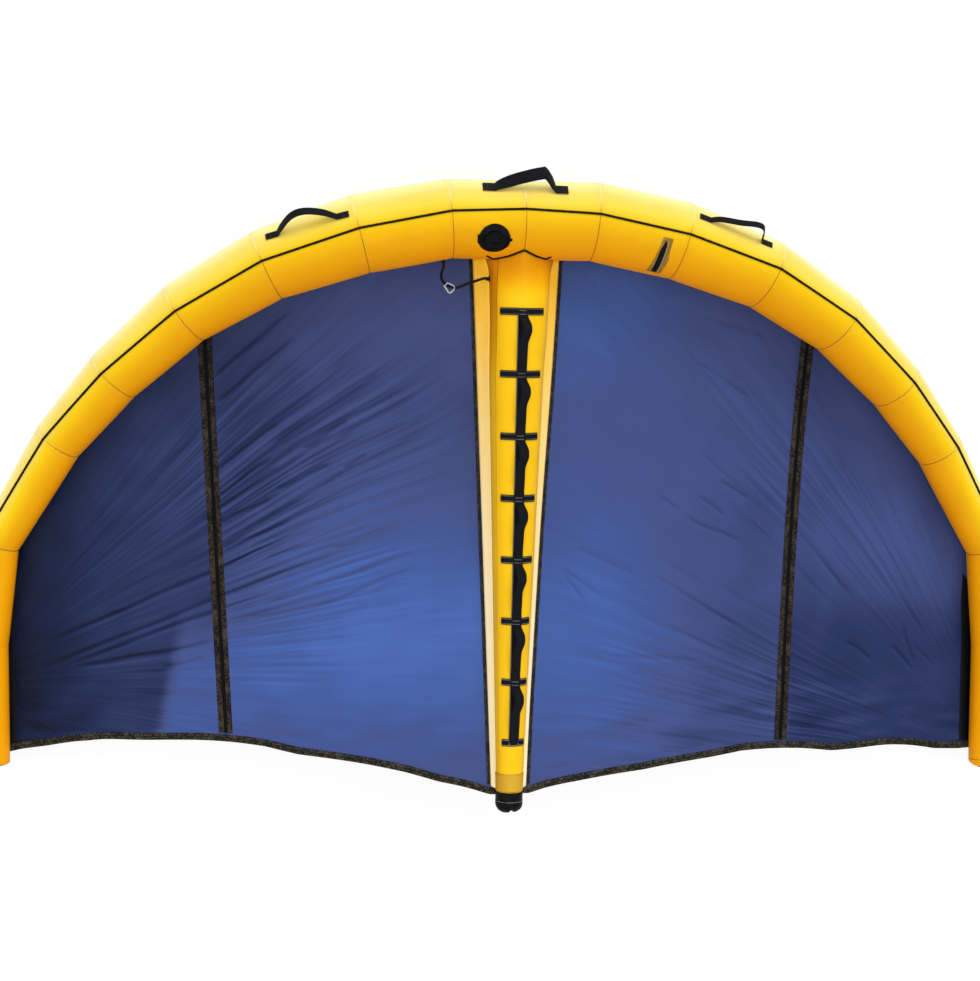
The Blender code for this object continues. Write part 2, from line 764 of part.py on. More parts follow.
def tip_edge_point(start, share):
    """A point of the canopy's outer edge, which follows the last panel round its knee."""
    tip = len(SEAM_SHARES) - 1
    knee = seam_point(tip - 1, CANOPY_TURN, SEW_GAP)
    end = seam_point(tip, CANOPY_TURN, SEW_GAP)
    knee_share = CANOPY_CHORD_SHARES[FRONT_ROW_COUNT]
    if share < knee_share:
        point = start.lerp(knee, share / knee_share)
    else:
        point = knee.lerp(end, (share - knee_share) / (1 - knee_share))
    return point + Vector((-SEAM_GAP, 0, 0))


def canopy_grid(first, last):
    """Rows of points of the right half, between two columns."""
    columns = [canopy_column(column) for column in range(first, last + 1)]
    return [[column[row] for column in columns] for row in range(len(CANOPY_CHORD_SHARES))]


def shift_edge(grid, column, amount):
    """Draw one edge of a grid in by a small amount, so that two cloths don't touch."""
    for row in grid:
        row[column] = row[column] + Vector((amount, 0, 0))


def make_canopy():
    """The canopy: a centre strip under the strut and two cloths on each side."""
    last = len(CANOPY_STATIONS) - 1
    for side in (1, -1):
        inner = canopy_grid(0, INNER_COLUMN_COUNT)
        shift_edge(inner, 0, SEAM_GAP)
        shift_edge(inner, -1, -SEAM_GAP / 2)
        outer = canopy_grid(INNER_COLUMN_COUNT, last)
        shift_edge(outer, 0, SEAM_GAP / 2)
        for grid, place, material in ((inner, "inner", "blue_canopy"), (outer, "outer", "navy_canopy")):
            points = [[mirrored(point, side) for point in row] for row in grid]
            smooth(sheet(f"canopy_{side_name(side)}_{place}", points, CLOTH, material), 60)
        make_band(side)
        make_hem(side, last)
    rows = []
    start, end = -canopy_front(0).y, TRAILING_MIDDLE
    for share in CANOPY_CHORD_SHARES:
        back = start + (end - start) * share
        rows.append([Vector((x, -back, canopy_keel(back))) for x in (-flap_foot(back), 0, flap_foot(back))])
    sheet("canopy_centre", rows, CLOTH, "blue_canopy")


def make_band(side):
    """The doubled seam band between the inner and outer cloths, on their upper face."""
    before = canopy_column(INNER_COLUMN_COUNT - 1)
    seam = canopy_column(INNER_COLUMN_COUNT)
    after = canopy_column(INNER_COLUMN_COUNT + 1)
    lift = Vector((0, 0, SEW_GAP + BAND_THICKNESS))
    rows = []
    for low, middle, high in list(zip(before, seam, after))[1:-1]:
        left = middle + (low - middle).normalized() * BAND_WIDTH / 2
        right = middle + (high - middle).normalized() * BAND_WIDTH / 2
        rows.append([mirrored(point + lift, side) for point in (left, middle, right)])
    sheet(f"canopy_seam_band_{side_name(side)}", rows, BAND_THICKNESS, "black_trim")


def make_hem(side, last):
    """The webbing hem along the trailing edge."""
    edge = [canopy_column(column)[-1] for column in range(last + 1)]
    edge[-1] = edge[-1] + Vector((-SEAM_GAP, 0, -HEM_THICKNESS / 2))
    drop = Vector((0, -SEAM_GAP, (HEM_THICKNESS - CLOTH) / 2))
    back = Vector((0, -HEM_WIDTH, 0))
    rows = [[mirrored(point + drop + back * share, side) for point in edge] for share in (0, 1)]
    smooth(sheet(f"trailing_edge_hem_{side_name(side)}", rows, HEM_THICKNESS, "black_trim"), 60)


def pad_on_tube(name, side, station, width, turns, lift, thickness, material):
    """A flat patch of constant width sewn round part of the tube."""
    low, high = turns
    corners = [turn - 360 for turn in ring_turns()] + ring_turns()
    marks = [turn for turn in corners if low + CORNER_SPARE_TURN < turn < high - CORNER_SPARE_TURN]
    first = int(station)
    span = (seam_centre(first + 1) - seam_centre(first)).length
    half = width / 2 / span
    sections = []
    for turn in (low, *marks, high):
        sections.append([
            tube_point(side, station - half, turn, lift),
            tube_point(side, station + half, turn, lift),
            tube_point(side, station + half, turn, lift + thickness),
            tube_point(side, station - half, turn, lift + thickness),
        ])
    return loft(name, sections, material)


def ribbon(name, points, across, width, thickness, material):
    """A strap of constant width along a path, given by its lower face."""
    half = across * width / 2
    sections = []
    for index, point in enumerate(points):
        before = points[max(index - 1, 0)]
        after = points[min(index + 1, len(points) - 1)]
        top = (after - before).cross(across).normalized() * thickness
        sections.append([point - half, point + half, point + half + top, point - half + top])
    return loft(name, sections, material)


def curve_through(shares, steps):
    """A smooth line through a few shares, as (along, rise) pairs."""
    ends = [shares[0], *shares, shares[-1]]
    line = []
    for index in range(len(shares) - 1):
        a, b, c, d = ends[index:index + 4]
        for step in range(steps):
            t = step / steps
            pair = []
            for k in (0, 1):
                slope_in, slope_out = (c[k] - a[k]) / 2, (d[k] - b[k]) / 2
                pair.append(
                    (2 * t ** 3 - 3 * t ** 2 + 1) * b[k] + (t ** 3 - 2 * t ** 2 + t) * slope_in
                    + (3 * t ** 2 - 2 * t ** 3) * c[k] + (t ** 3 - t ** 2) * slope_out
                )
            line.append(tuple(pair))
    line.append(shares[-1])
    return line


def make_tube_grips():
    """The three webbing grips sewn across the front of the leading edge."""
    reach = front_station(CENTRE_GRIP_REACH, CENTRE_GRIP_TURN)
    make_grip(
        "grip_centre", (-1, reach), (1, reach), CENTRE_GRIP_TURN, CENTRE_GRIP_SHARES, CENTRE_GRIP_WIDTH)
    inner, outer = SIDE_GRIP_STATIONS
    make_grip(
        "grip_left", (-1, outer), (-1, inner), SIDE_GRIP_TURN, LEFT_GRIP_SHARES, SIDE_GRIP_WIDTH)
    make_grip(
        "grip_right", (1, inner), (1, outer), SIDE_GRIP_TURN, RIGHT_GRIP_SHARES, SIDE_GRIP_WIDTH)


def make_grip(name, start, end, turn, shares, width):
    """A strap that lies flat at both ends and arches between them."""
    lift = SEW_GAP / facet_factor(0)
    first = tube_point(*start, turn, lift)
    last = tube_point(*end, turn, lift)
    foot = GRIP_FOOT / 2 / (last - first).length
    line = [(-foot, 0.0)]
    line += [(foot + (1 - 2 * foot) * along, rise) for along, rise in curve_through(shares, 3)]
    line.append((1 + foot, 0.0))
    on_both_sides = start[0] != end[0]
    normal = tube_normal(*start, turn)
    if on_both_sides:
        normal = Vector((0, normal.y, normal.z)).normalized()
    points = []
    for along, rise in line:
        base = first.lerp(last, along)
        if not on_both_sides:
            base = tube_point(start[0], start[1] + (end[1] - start[1]) * along, turn, lift)
        points.append(base + normal * GRIP_RISE * rise)
    across = normal.cross(last - first).normalized()
    smooth(ribbon(name, points, across, width, GRIP_THICKNESS, "black_webbing"), 50)


def bar_back(index):
    """How far back a cross bar lies."""
    return BAR_FIRST + BAR_SPACING * index


def make_strut_handle():
    """The ladder of webbing on the strut, and the loops that bulge between its bars."""
    half = BAR_LENGTH / 2
    low = STRUT_TOP + 2 * SEW_GAP
    ladder = add_box(
        "strut_handle_ladder",
        (-STRAP_WIDTH / 2, -bar_back(BAR_COUNT - 1) - half / 2, low),
        (STRAP_WIDTH / 2, -bar_back(0) + half / 2, low + STRAP_THICKNESS * BASE_STRAP_SHARE),
        Matrix.Identity(4), "black_webbing",
    )
    corners = [turn - 360 if turn > 180 else turn for turn in ring_turns()]
    marks = sorted(turn for turn in corners if abs(turn) < BAR_TURN - CORNER_SPARE_TURN)
    for index in range(BAR_COUNT):
        back = bar_back(index)
        sections = []
        for turn in (-BAR_TURN, *marks, BAR_TURN):
            sections.append([
                strut_point(back + half, turn, SEW_GAP),
                strut_point(back - half, turn, SEW_GAP),
                strut_point(back - half, turn, SEW_GAP + BAR_THICKNESS),
                strut_point(back + half, turn, SEW_GAP + BAR_THICKNESS),
            ])
        bar = as_cutter(loft(f"join_bar_{index + 1}", sections, None, collection=CUTTERS))
        boolean(ladder, bar, "UNION")
    for index in range(BAR_COUNT - 1):
        make_strut_loop(index, low + BAR_THICKNESS)


def make_strut_loop(index, base):
    """One bulging loop, sewn flat on the bars at both of its ends."""
    start, end = bar_back(index), bar_back(index + 1)
    clear = BAR_SPACING - BAR_LENGTH
    points = [Vector((0, -start - SEAM_GAP / 2, base))]
    for along, rise in curve_through(LOOP_SHARES, 2):
        back = start + BAR_LENGTH / 2 + clear * along
        points.append(Vector((LOOP_LEAN * rise, -back, base + LOOP_RISE * rise)))
    points.append(Vector((0, -end + SEAM_GAP / 2, base)))
    loop = ribbon(
        f"strut_loop_{index + 1}", points, Vector((1, 0, 0)), LOOP_WIDTH, LOOP_THICKNESS, "black_webbing")
    smooth(loop, 50)


def tube_along_curve(name, points, radius, material, resolution=1, collection=None):
    """A round cord along a line of points, as a closed mesh."""
    curve = bpy.data.curves.new(name, "CURVE")
    curve.dimensions = "3D"
    curve.bevel_depth = radius
    curve.bevel_resolution = resolution
    curve.use_fill_caps = True
    spline = curve.splines.new("POLY")
    spline.points.add(len(points) - 1)
    for place, point in zip(spline.points, points):
        place.co = (*point, 1.0)
    guide = bpy.data.objects.new(name + "_line", curve)
    bpy.context.scene.collection.objects.link(guide)
    seen = guide.evaluated_get(bpy.context.evaluated_depsgraph_get())
    mesh = bpy.data.meshes.new_from_object(seen)
    bpy.data.objects.remove(guide, do_unlink=True)
    bm = bmesh.new()
    bm.from_mesh(mesh)
    bmesh.ops.remove_doubles(bm, verts=bm.verts, dist=MERGE_GAP)
    return smooth(object_from(bm, name, material, collection), 60)


def smooth_line(points, steps):
    """A smooth curve through points in space, with straight first and last runs."""
    ends = points
    points = points[1:-1]
    line = []
    for index in range(len(points) - 1):
        a, b, c, d = ends[index:index + 4]
        for step in range(steps):
            t = step / steps
            slope_in, slope_out = (c - a) / 2, (d - b) / 2
            line.append(
                b * (2 * t ** 3 - 3 * t ** 2 + 1) + slope_in * (t ** 3 - 2 * t ** 2 + t)
                + c * (3 * t ** 2 - 2 * t ** 3) + slope_out * (t ** 3 - t ** 2)
            )
    return [ends[0], *line, points[-1], ends[-1]]


def make_piping():
    """The black cord along the tube's long seam, and the one round the strut's front."""
    lift = PIPING_RADIUS + SEW_GAP
    last = len(SEAM_SHARES) - 1
    for side in (1, -1):
        points = []
        for station in range(last + 1):
            if station:
                middle = (PIPING_TURNS[station - 1] + PIPING_TURNS[station]) / 2
                points.append(round_point(side, station - 0.5, middle, lift))
            point = round_point(side, station, PIPING_TURNS[station], lift)
            if station == 0:
                point = point + Vector((side * SEAM_GAP / 2, 0, 0))
            points.append(point)
        tube_along_curve(f"leading_edge_piping_{side_name(side)}", points, PIPING_RADIUS, "black_trim")


def round_point(side, station, turn, lift):
    """A point over the round surface that the tube's corners lie on."""
    radius = blended_radius(station)
    return tube_point(side, station, turn, (radius + lift) / facet_factor(turn) - radius)


def blended_radius(station):
    """The tube's radius at any place along it."""
    low = min(int(station), len(SEAM_SHARES) - 2)
    share = station - low
    return seam_radius(low) * (1 - share) + seam_radius(low + 1) * share


def make_junction_piping():
    """The cord in the seam where the strut's sleeve meets the tube."""
    lift = JUNCTION_PIPING_RADIUS + 2 * SEW_GAP
    tube = seam_radius(0) + lift
    points = []
    for step in range(-JUNCTION_STEPS, JUNCTION_STEPS + 1):
        around = math.radians(JUNCTION_REACH_TURN * step / JUNCTION_STEPS)
        back = TUBE_RADIUS
        for _ in range(3):
            strut = strut_radius(back) + lift
            height = strut_height(back) + strut * math.cos(around)
            turn = math.acos(height / tube)
            back = tube * math.sin(turn)
        across = strut * math.sin(around)
        side = 1 if across >= 0 else -1
        reach = round_point(1, 1, -math.degrees(turn), lift).x
        points.append(round_point(side, abs(across) / reach, -math.degrees(turn), lift))
    tube_along_curve("junction_piping", points, JUNCTION_PIPING_RADIUS, "black_trim")


def make_valve():
    """The inflation valve: flange and collar, cap with finger tab, plunger and spring."""
    frame = valve_frame()
    station = front_station(VALVE_OFFSET, VALVE_TURN)
    turn_half = math.degrees(FLANGE_RADIUS / seam_radius(0)) + FLANGE_SPARE_TURN
    base = pad_on_tube(
        "valve_base", -1, station, 2 * FLANGE_RADIUS + CUT_OVERRUN,
        (VALVE_TURN - turn_half, VALVE_TURN + turn_half), SEW_GAP, FLANGE_THICKNESS, "black_plastic",
    )
    floor = -LEDGE_DEPTH - LEDGE_THICKNESS
    beyond = -COLLAR_DEPTH - CUT_OVERRUN
    steps = (
        ("shape_flange", FLANGE_RADIUS, beyond, CUT_OVERRUN, FLANGE_SIDES, "INTERSECT"),
        ("join_collar", COLLAR_RADIUS, -COLLAR_DEPTH, COLLAR_RISE, ROUND_SIDES, "UNION"),
        ("cut_bore", BORE_RADIUS, -LEDGE_DEPTH, CUT_OVERRUN, ROUND_SIDES, "DIFFERENCE"),
        ("cut_outlet", BORE_RADIUS, beyond, floor, ROUND_SIDES, "DIFFERENCE"),
        ("cut_seat", LEDGE_RADIUS, beyond, CUT_OVERRUN, ROUND_SIDES, "DIFFERENCE"),
    )
    for name, radius, low, high, sides, operation in steps:
        tool = add_cylinder(name, radius, low, high, frame, collection=CUTTERS, sides=sides)
        boolean(base, as_cutter(tool), operation)
    low, high = (floor + LEDGE_THICKNESS * share for share in SPOKE_SHARES)
    for index in range(SPOKE_COUNT):
        turn = math.radians(360 * index / SPOKE_COUNT + SPOKE_FIRST_TURN)
        spoke = add_box(
            f"join_spoke_{index + 1}", (HUB_RADIUS * SPOKE_START_SHARE, -SPOKE_WIDTH / 2, low),
            (LEDGE_RADIUS + SPOKE_WIDTH, SPOKE_WIDTH / 2, high),
            frame @ Matrix.Rotation(turn, 4, "Z"), collection=CUTTERS)
        boolean(base, as_cutter(spoke), "UNION")
    rise = LEDGE_THICKNESS * HUB_RISE_SHARE
    hub = add_cylinder(
        "join_hub", HUB_RADIUS, low - rise, high + rise, frame, collection=CUTTERS, sides=SMALL_SIDES)
    boolean(base, as_cutter(hub), "UNION")
    guide = add_cylinder(
        "cut_guide", STEM_RADIUS + RUNNING_GAP, beyond, CUT_OVERRUN, frame,
        collection=CUTTERS, sides=STEM_SIDES)
    boolean(base, as_cutter(guide), "DIFFERENCE")
    smooth(base, 30)
    make_cap(frame)
    make_plunger(frame, high + rise)
    make_tether()


def axis_empty(name, frame):
    """An empty on a joint's axis, for the pieces that turn or slide about it."""
    made = bpy.data.objects.new(name, None)
    WING.objects.link(made)
    made.matrix_world = frame
    made.parent = STAND
    return made


def hang_on(made, empty):
    """Parent a piece to an empty without moving it."""
    made.data.transform(empty.matrix_world.inverted())
    made.parent = empty
    made.matrix_parent_inverse = Matrix.Identity(4)


def make_cap(frame):
    """The cap that plugs the collar, and the finger tab that folds into it."""
    cap = add_cylinder(
        "valve_cap", BORE_RADIUS - RUNNING_GAP, -CAP_DEPTH, CAP_RISE, frame, "grey_plastic")
    recess_floor = CAP_RISE - CAP_RECESS_DEPTH
    hollows = (
        ("cut_cap_recess", recess_floor, CAP_RISE + CUT_OVERRUN),
        ("cut_cap_underside", -CAP_DEPTH - CUT_OVERRUN, -CAP_DEPTH / 3),
    )
    for name, low, high in hollows:
        tool = add_cylinder(name, CAP_RECESS_RADIUS, low, high, frame, collection=CUTTERS)
        boolean(cap, as_cutter(tool), "DIFFERENCE")
    smooth(cap, 30)

    half = FINGER_THICKNESS / 2
    pivot = frame @ Matrix.Translation((0, 0, recess_floor + RUNNING_GAP + half))
    tab = add_cylinder("valve_finger_tab", FINGER_RADIUS, -half, half, pivot, "grey_plastic")
    wide = 2 * FINGER_RADIUS
    away = add_box(
        "cut_half_tab", (-wide, 0, -CUT_OVERRUN), (wide, wide, CUT_OVERRUN), pivot, collection=CUTTERS)
    boolean(tab, as_cutter(away), "DIFFERENCE")
    reach = CAP_RECESS_RADIUS - RUNNING_GAP
    barrel = add_cylinder(
        "join_tab_barrel", half * TAB_BARREL_SHARE, -reach, reach,
        pivot @ Matrix.Rotation(math.pi / 2, 4, "Y"), collection=CUTTERS, sides=STEM_SIDES)
    boolean(tab, as_cutter(barrel), "UNION")
    across, far, near = (FINGER_RADIUS * share for share in TAB_WINDOW_SHARES)
    window = add_box(
        "cut_tab_window", (-across, -far, -CUT_OVERRUN), (across, -near, CUT_OVERRUN), pivot,
        collection=CUTTERS)
    boolean(tab, as_cutter(window), "DIFFERENCE")
    smooth(tab, 30)
    hang_on(cap, axis_empty("valve_cap_axis", frame))
    hang_on(tab, axis_empty("valve_finger_tab_axis", pivot))


def make_plunger(frame, hub_top):
    """The spring-held plunger that shuts the valve from inside."""
    seat = -LEDGE_DEPTH - LEDGE_THICKNESS - RUNNING_GAP
    head_low = -STEM_TOP_DEPTH - STEM_HEAD_THICKNESS
    plunger = add_cylinder(
        "valve_plunger", PLUNGER_RADIUS, seat - PLUNGER_THICKNESS, seat, frame, "black_plastic")
    bars = (
        ("join_stem", STEM_RADIUS, seat - PLUNGER_THICKNESS / 2, head_low + STEM_HEAD_THICKNESS / 2),
        ("join_stem_head", STEM_HEAD_RADIUS, head_low, head_low + STEM_HEAD_THICKNESS),
    )
    for name, radius, low, high in bars:
        bar = add_cylinder(name, radius, low, high, frame, collection=CUTTERS, sides=STEM_SIDES)
        boolean(plunger, as_cutter(bar), "UNION")
    smooth(plunger, 30)
    hang_on(plunger, axis_empty("valve_plunger_axis", frame))
    low = hub_top + SPRING_WIRE + RUNNING_GAP
    high = head_low - SPRING_WIRE - RUNNING_GAP
    count = SPRING_STEPS * SPRING_TURNS
    points = []
    for step in range(count + 1):
        angle = 2 * math.pi * step / SPRING_STEPS
        height = low + (high - low) * step / count
        local = Vector((SPRING_RADIUS * math.cos(angle), SPRING_RADIUS * math.sin(angle), height))
        points.append(frame @ local)
    tube_along_curve("valve_spring", points, SPRING_WIRE, "spring_steel")


def make_tether():
    """The cap's retaining tab, sewn flat beside the collar."""
    reach = VALVE_OFFSET - (COLLAR_RADIUS + RUNNING_GAP + TETHER_LENGTH / 2)
    half = math.degrees(TETHER_WIDTH / 2 / seam_radius(0))
    pad_on_tube(
        "valve_tether", -1, front_station(reach, VALVE_TURN), TETHER_LENGTH,
        (VALVE_TURN - half, VALVE_TURN + half), 2 * SEW_GAP + FLANGE_THICKNESS, TETHER_THICKNESS,
        "black_plastic")


def make_fitting(name, frame):
    """A hose fitting: stem through the skin, flange on it and a short barb."""
    fitting = add_cylinder(
        name, FITTING_FLANGE_RADIUS, SEW_GAP, SEW_GAP + FITTING_FLANGE_THICKNESS, frame,
        "black_plastic", sides=SMALL_SIDES)
    stem = add_cylinder(
        f"join_{name}_stem", FITTING_STEM_RADIUS, -FITTING_DEPTH, FITTING_RISE, frame,
        collection=CUTTERS, sides=STEM_SIDES)
    boolean(fitting, as_cutter(stem), "UNION")
    smooth(fitting, 30)


def make_hose():
    """The inflation hose from the leading edge to the strut, with a fitting at each end."""
    tube_end, strut_end = tube_fitting_frame(), strut_fitting_frame()
    make_fitting("hose_fitting_tube", tube_end)
    make_fitting("hose_fitting_strut", strut_end)
    start = FITTING_RISE + SEW_GAP
    straight = start + 2 * HOSE_RADIUS
    route = [tube_end @ Vector((0, 0, start)), tube_end @ Vector((0, 0, straight))]
    route += [Vector(point) for point in HOSE_POINTS]
    route += [strut_end @ Vector((0, 0, straight)), strut_end @ Vector((0, 0, start))]
    line = smooth_line(route, HOSE_STEPS)
    tube_along_curve("inflation_hose", line, HOSE_RADIUS, "black_plastic", resolution=2)
    make_clamp(line)


def make_clamp(line):
    """The bent strip that can pinch the hose shut, open here, with the hose through both ends."""
    middle = len(line) // 2
    flow = (line[middle + 1] - line[middle - 1]).normalized()
    frame = frame_at(line[middle], Vector((0, 0, 1)) - flow * flow.z, flow)
    half = CLAMP_WIDTH / 2
    outer = [Vector((*place, 0)) for place in CLAMP_OUTLINE]
    inner = []
    for index, here in enumerate(outer):
        before = (here - outer[index - 1]).normalized()
        after = (outer[(index + 1) % len(outer)] - here).normalized()
        inward = (before + after).normalized().cross(Vector((0, 0, 1)))
        inner.append(here + inward * CLAMP_STRIP / inward.dot(before.cross(Vector((0, 0, 1)))))
    layers = []
    for ring in (outer, inner):
        layers.append([[frame @ (point + Vector((0, 0, z))) for point in ring] for z in (-half, half)])
    clamp = wall("hose_clip", *layers, "pale_plastic")
    jaw_half = half * CLAMP_JAW_SHARE
    for index, (along, across) in enumerate(CLAMP_JAW_PLACES, 1):
        place = frame @ Matrix.Translation((along, across, 0))
        jaw = add_cylinder(
            f"join_clamp_jaw_{index}", CLAMP_JAW_RADIUS, -jaw_half, jaw_half, place,
            collection=CUTTERS, sides=STEM_SIDES)
        boolean(clamp, as_cutter(jaw), "UNION")
    passage = tube_along_curve(
        "cut_clamp_passage", line, HOSE_RADIUS + CLAMP_PLAY, None, resolution=2, collection=CUTTERS)
    boolean(clamp, as_cutter(passage), "DIFFERENCE")


def make_zip():
    """The zip that opens the sleeve to reach the bladder, with its facing and slider."""
    pad_on_tube(
        "zip_facing", 1, ZIP_STATION, ZIP_FACING_WIDTH, ZIP_TURNS, SEW_GAP, ZIP_FACING_THICKNESS,
        "black_trim")
    chain_lift = 2 * SEW_GAP + ZIP_FACING_THICKNESS
    pad_on_tube(
        "zip_chain", 1, ZIP_STATION, ZIP_CHAIN_WIDTH, ZIP_CHAIN_TURNS, chain_lift, ZIP_CHAIN_THICKNESS,
        "black_webbing")
    centre = tube_centre(1, ZIP_STATION)
    along = tube_along(1, ZIP_STATION)
    crests = [
        round_point(1, ZIP_STATION, turn, chain_lift + ZIP_CHAIN_THICKNESS) - centre
        for turn in ZIP_CHAIN_TURNS
    ]
    low = max(crest.length for crest in crests) + RUNNING_GAP
    outward = round_point(1, ZIP_STATION, ZIP_SLIDER_TURN, 0) - centre
    frame = frame_at(centre, outward, along)
    half_width, half_length = ZIP_SLIDER_WIDTH / 2, ZIP_SLIDER_LENGTH / 2
    slider = add_box(
        "zip_slider", (-half_width, -half_length, low),
        (half_width, half_length, low + ZIP_SLIDER_HEIGHT), frame, "grey_plastic")
    rear_share, front_share, floor_share = WAIST_SHARES
    waist = add_box(
        "cut_slider_waist", (-CUT_OVERRUN, -half_length * rear_share, low + ZIP_SLIDER_HEIGHT * floor_share),
        (CUT_OVERRUN, half_length * front_share, low + ZIP_SLIDER_HEIGHT + CUT_OVERRUN), frame,
        collection=CUTTERS)
    boolean(slider, as_cutter(waist), "DIFFERENCE")
    width_share, rear_share, low_share, high_share = PULL_SHARES
    pull = add_box(
        "join_slider_pull",
        (-half_width * width_share, -half_length * rear_share, low + ZIP_SLIDER_HEIGHT * low_share),
        (half_width * width_share, ZIP_PULL_LENGTH, low + ZIP_SLIDER_HEIGHT * high_share), frame,
        collection=CUTTERS)
    boolean(slider, as_cutter(pull), "UNION")
    hang_on(slider, axis_empty("zip_slider_axis", frame_at(centre, along, Vector((0, 0, 1)))))


def stand_on_origin():
    """Move the wing so that it stands on the ground, its box centred on the origin."""
    bpy.context.view_layer.update()
    depsgraph = bpy.context.evaluated_depsgraph_get()
    low = Vector((math.inf,) * 3)
    high = Vector((-math.inf,) * 3)
    for piece in WING.objects:
        if piece.type != "MESH":
            continue
        seen = piece.evaluated_get(depsgraph)
        for vert in seen.data.vertices:
            place = seen.matrix_world @ vert.co
            low = Vector(map(min, low, place))
            high = Vector(map(max, high, place))
    middle = (low + high) / 2
    STAND.location = (-middle.x, -middle.y, -low.z)


def main():
    """Build the wing."""
    openings = make_openings()
    make_tube_panels(openings)
    make_tip_caps()
    make_tube_bladder(openings)
    make_strut(openings)
    make_canopy()
    make_flaps()
    make_piping()
    make_junction_piping()
    make_valve()
    make_hose()
    make_zip()
    make_tube_grips()
    make_strut_handle()
    stand_on_origin()


clear_scene()
MADE = make_materials()
WING = new_collection("foil_wing")
CUTTERS = new_collection("cutters")
STAND = bpy.data.objects.new("wing_stand", None)
WING.objects.link(STAND)
main()
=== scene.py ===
"""Foil wing, dressed: inflated sleeves, canopy cloth, webbing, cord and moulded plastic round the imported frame."""

import logging
import math
from dataclasses import dataclass, field
from enum import Enum

import bmesh
import bpy
import numpy as np
from mathutils import Matrix, Vector, noise


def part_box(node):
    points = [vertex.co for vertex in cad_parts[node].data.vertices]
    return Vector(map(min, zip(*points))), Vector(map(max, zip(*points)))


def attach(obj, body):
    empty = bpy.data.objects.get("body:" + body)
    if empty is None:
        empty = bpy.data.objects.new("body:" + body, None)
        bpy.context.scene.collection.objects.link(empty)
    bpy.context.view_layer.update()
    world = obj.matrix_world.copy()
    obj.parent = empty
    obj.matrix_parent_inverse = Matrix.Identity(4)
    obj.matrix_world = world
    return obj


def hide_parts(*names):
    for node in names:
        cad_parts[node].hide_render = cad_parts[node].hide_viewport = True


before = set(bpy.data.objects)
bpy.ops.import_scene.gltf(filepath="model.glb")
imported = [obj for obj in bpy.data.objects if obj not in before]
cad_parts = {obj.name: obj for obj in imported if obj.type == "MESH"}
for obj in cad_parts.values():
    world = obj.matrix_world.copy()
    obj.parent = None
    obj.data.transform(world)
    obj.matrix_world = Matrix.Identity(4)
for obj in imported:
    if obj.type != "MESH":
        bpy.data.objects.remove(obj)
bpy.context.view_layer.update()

LOG = logging.getLogger("foil_wing")
MM = 0.001
FILM_WALL = 0.6 * MM
ROOT = "wing"
UV_NAME = "Cloth"
# Metres from crest to crest of Blender's wave texture at a scale of 1
WAVE_PERIOD = 0.314
# Where the wing's own frame, with its origin in the middle of the leading edge, stands in the model's frame
STAND = Vector((0.0, 0.896185, 0.313534))
UP = Vector((0.0, 0.0, 1.0))


class Side(Enum):
    """The two halves of the wing, as signs of X."""

    LEFT = -1
    RIGHT = 1

    @property
    def word(self) -> str:
        """The side's name in lower case."""
        return self.name.lower()


def per_side(left: object, right: object) -> dict:
    """Declare a dataclass field that holds one value for each side.

    Args:
        left: The left side's value.
        right: The right side's value.

    Returns:
        The field, whose value is a dictionary by side.
    """
    return field(default_factory=lambda: {Side.LEFT: left, Side.RIGHT: right})


# ---- numbers ----


def step(low: float, high: float, value: float) -> float:
    """Rise smoothly from 0 at low to 1 at high.

    Args:
        low: Where the rise starts.
        high: Where it ends; it may lie below low, for a fall.
        value: The place asked for.

    Returns:
        A number from 0 to 1.
    """
    share = np.clip((value - low) / (high - low), 0.0, 1.0)
    return share * share * (3 - 2 * share)


def noise_over(*axes: np.ndarray) -> np.ndarray:
    """Smooth noise, about -0.5 to 0.5, at many places.

    Args:
        axes: The places' three coordinates, as arrays of one shape or as numbers.

    Returns:
        An array of that shape.
    """
    axes = np.broadcast_arrays(*axes)
    found = [noise.noise(Vector(place)) for place in zip(*(axis.ravel().tolist() for axis in axes))]
    return np.array(found).reshape(axes[0].shape)


def hermite(before: float, start: float, end: float, after: float, share: float, gaps: tuple) -> float:
    """Blend smoothly from start to end with the slopes of unevenly spaced neighbours.

    Args:
        before: Value before start.
        start: Value at share 0.
        end: Value at share 1.
        after: Value after end.
        share: Place between start and end.
        gaps: The three distances between the four values.

    Returns:
        The value, or array of values, at the share.
    """
    first, middle, last = gaps
    slope_in = (end - before) * (middle / (first + middle))
    slope_out = (after - start) * (middle / (middle + last))
    square, cube = share * share, share * share * share
    return (
        (2 * cube - 3 * square + 1) * start + (cube - 2 * square + share) * slope_in
        + (3 * square - 2 * cube) * end + (cube - square) * slope_out
    )


def smooth_path(points: list, steps: int) -> list:
    """Run a smooth line through points in space, or through pairs of shares.

    Args:
        points: The points as vectors.
        steps: How many pieces each stretch gets.

    Returns:
        The points of the line, with both ends.
    """
    ends = [points[0], *points, points[-1]]
    line = []
    for index in range(len(points) - 1):
        four = ends[index:index + 4]
        line += [hermite(*four, count / steps, (1, 1, 1)) for count in range(steps)]
    return [*line, points[-1]]


def spaced(points: list[Vector], pitch: float) -> list[tuple[Vector, Vector]]:
    """Step evenly along a line of points.

    Args:
        points: The line.
        pitch: The distance between steps, in metres.

    Returns:
        Pairs of place and direction, half a pitch in from both ends.
    """
    found, left = [], pitch / 2
    for start, end in zip(points, points[1:]):
        length = (end - start).length
        if length < 1e-9:
            continue
        ahead = (end - start) / length
        while left <= length:
            found.append((start + ahead * left, ahead))
            left += pitch
        left -= length
    return found


def circle(count: int) -> list[float]:
    """Divide a full turn evenly.

    Args:
        count: How many parts it has.

    Returns:
        Turns in degrees, with both 0 and 360.
    """
    return [360 * number / count for number in range(count + 1)]


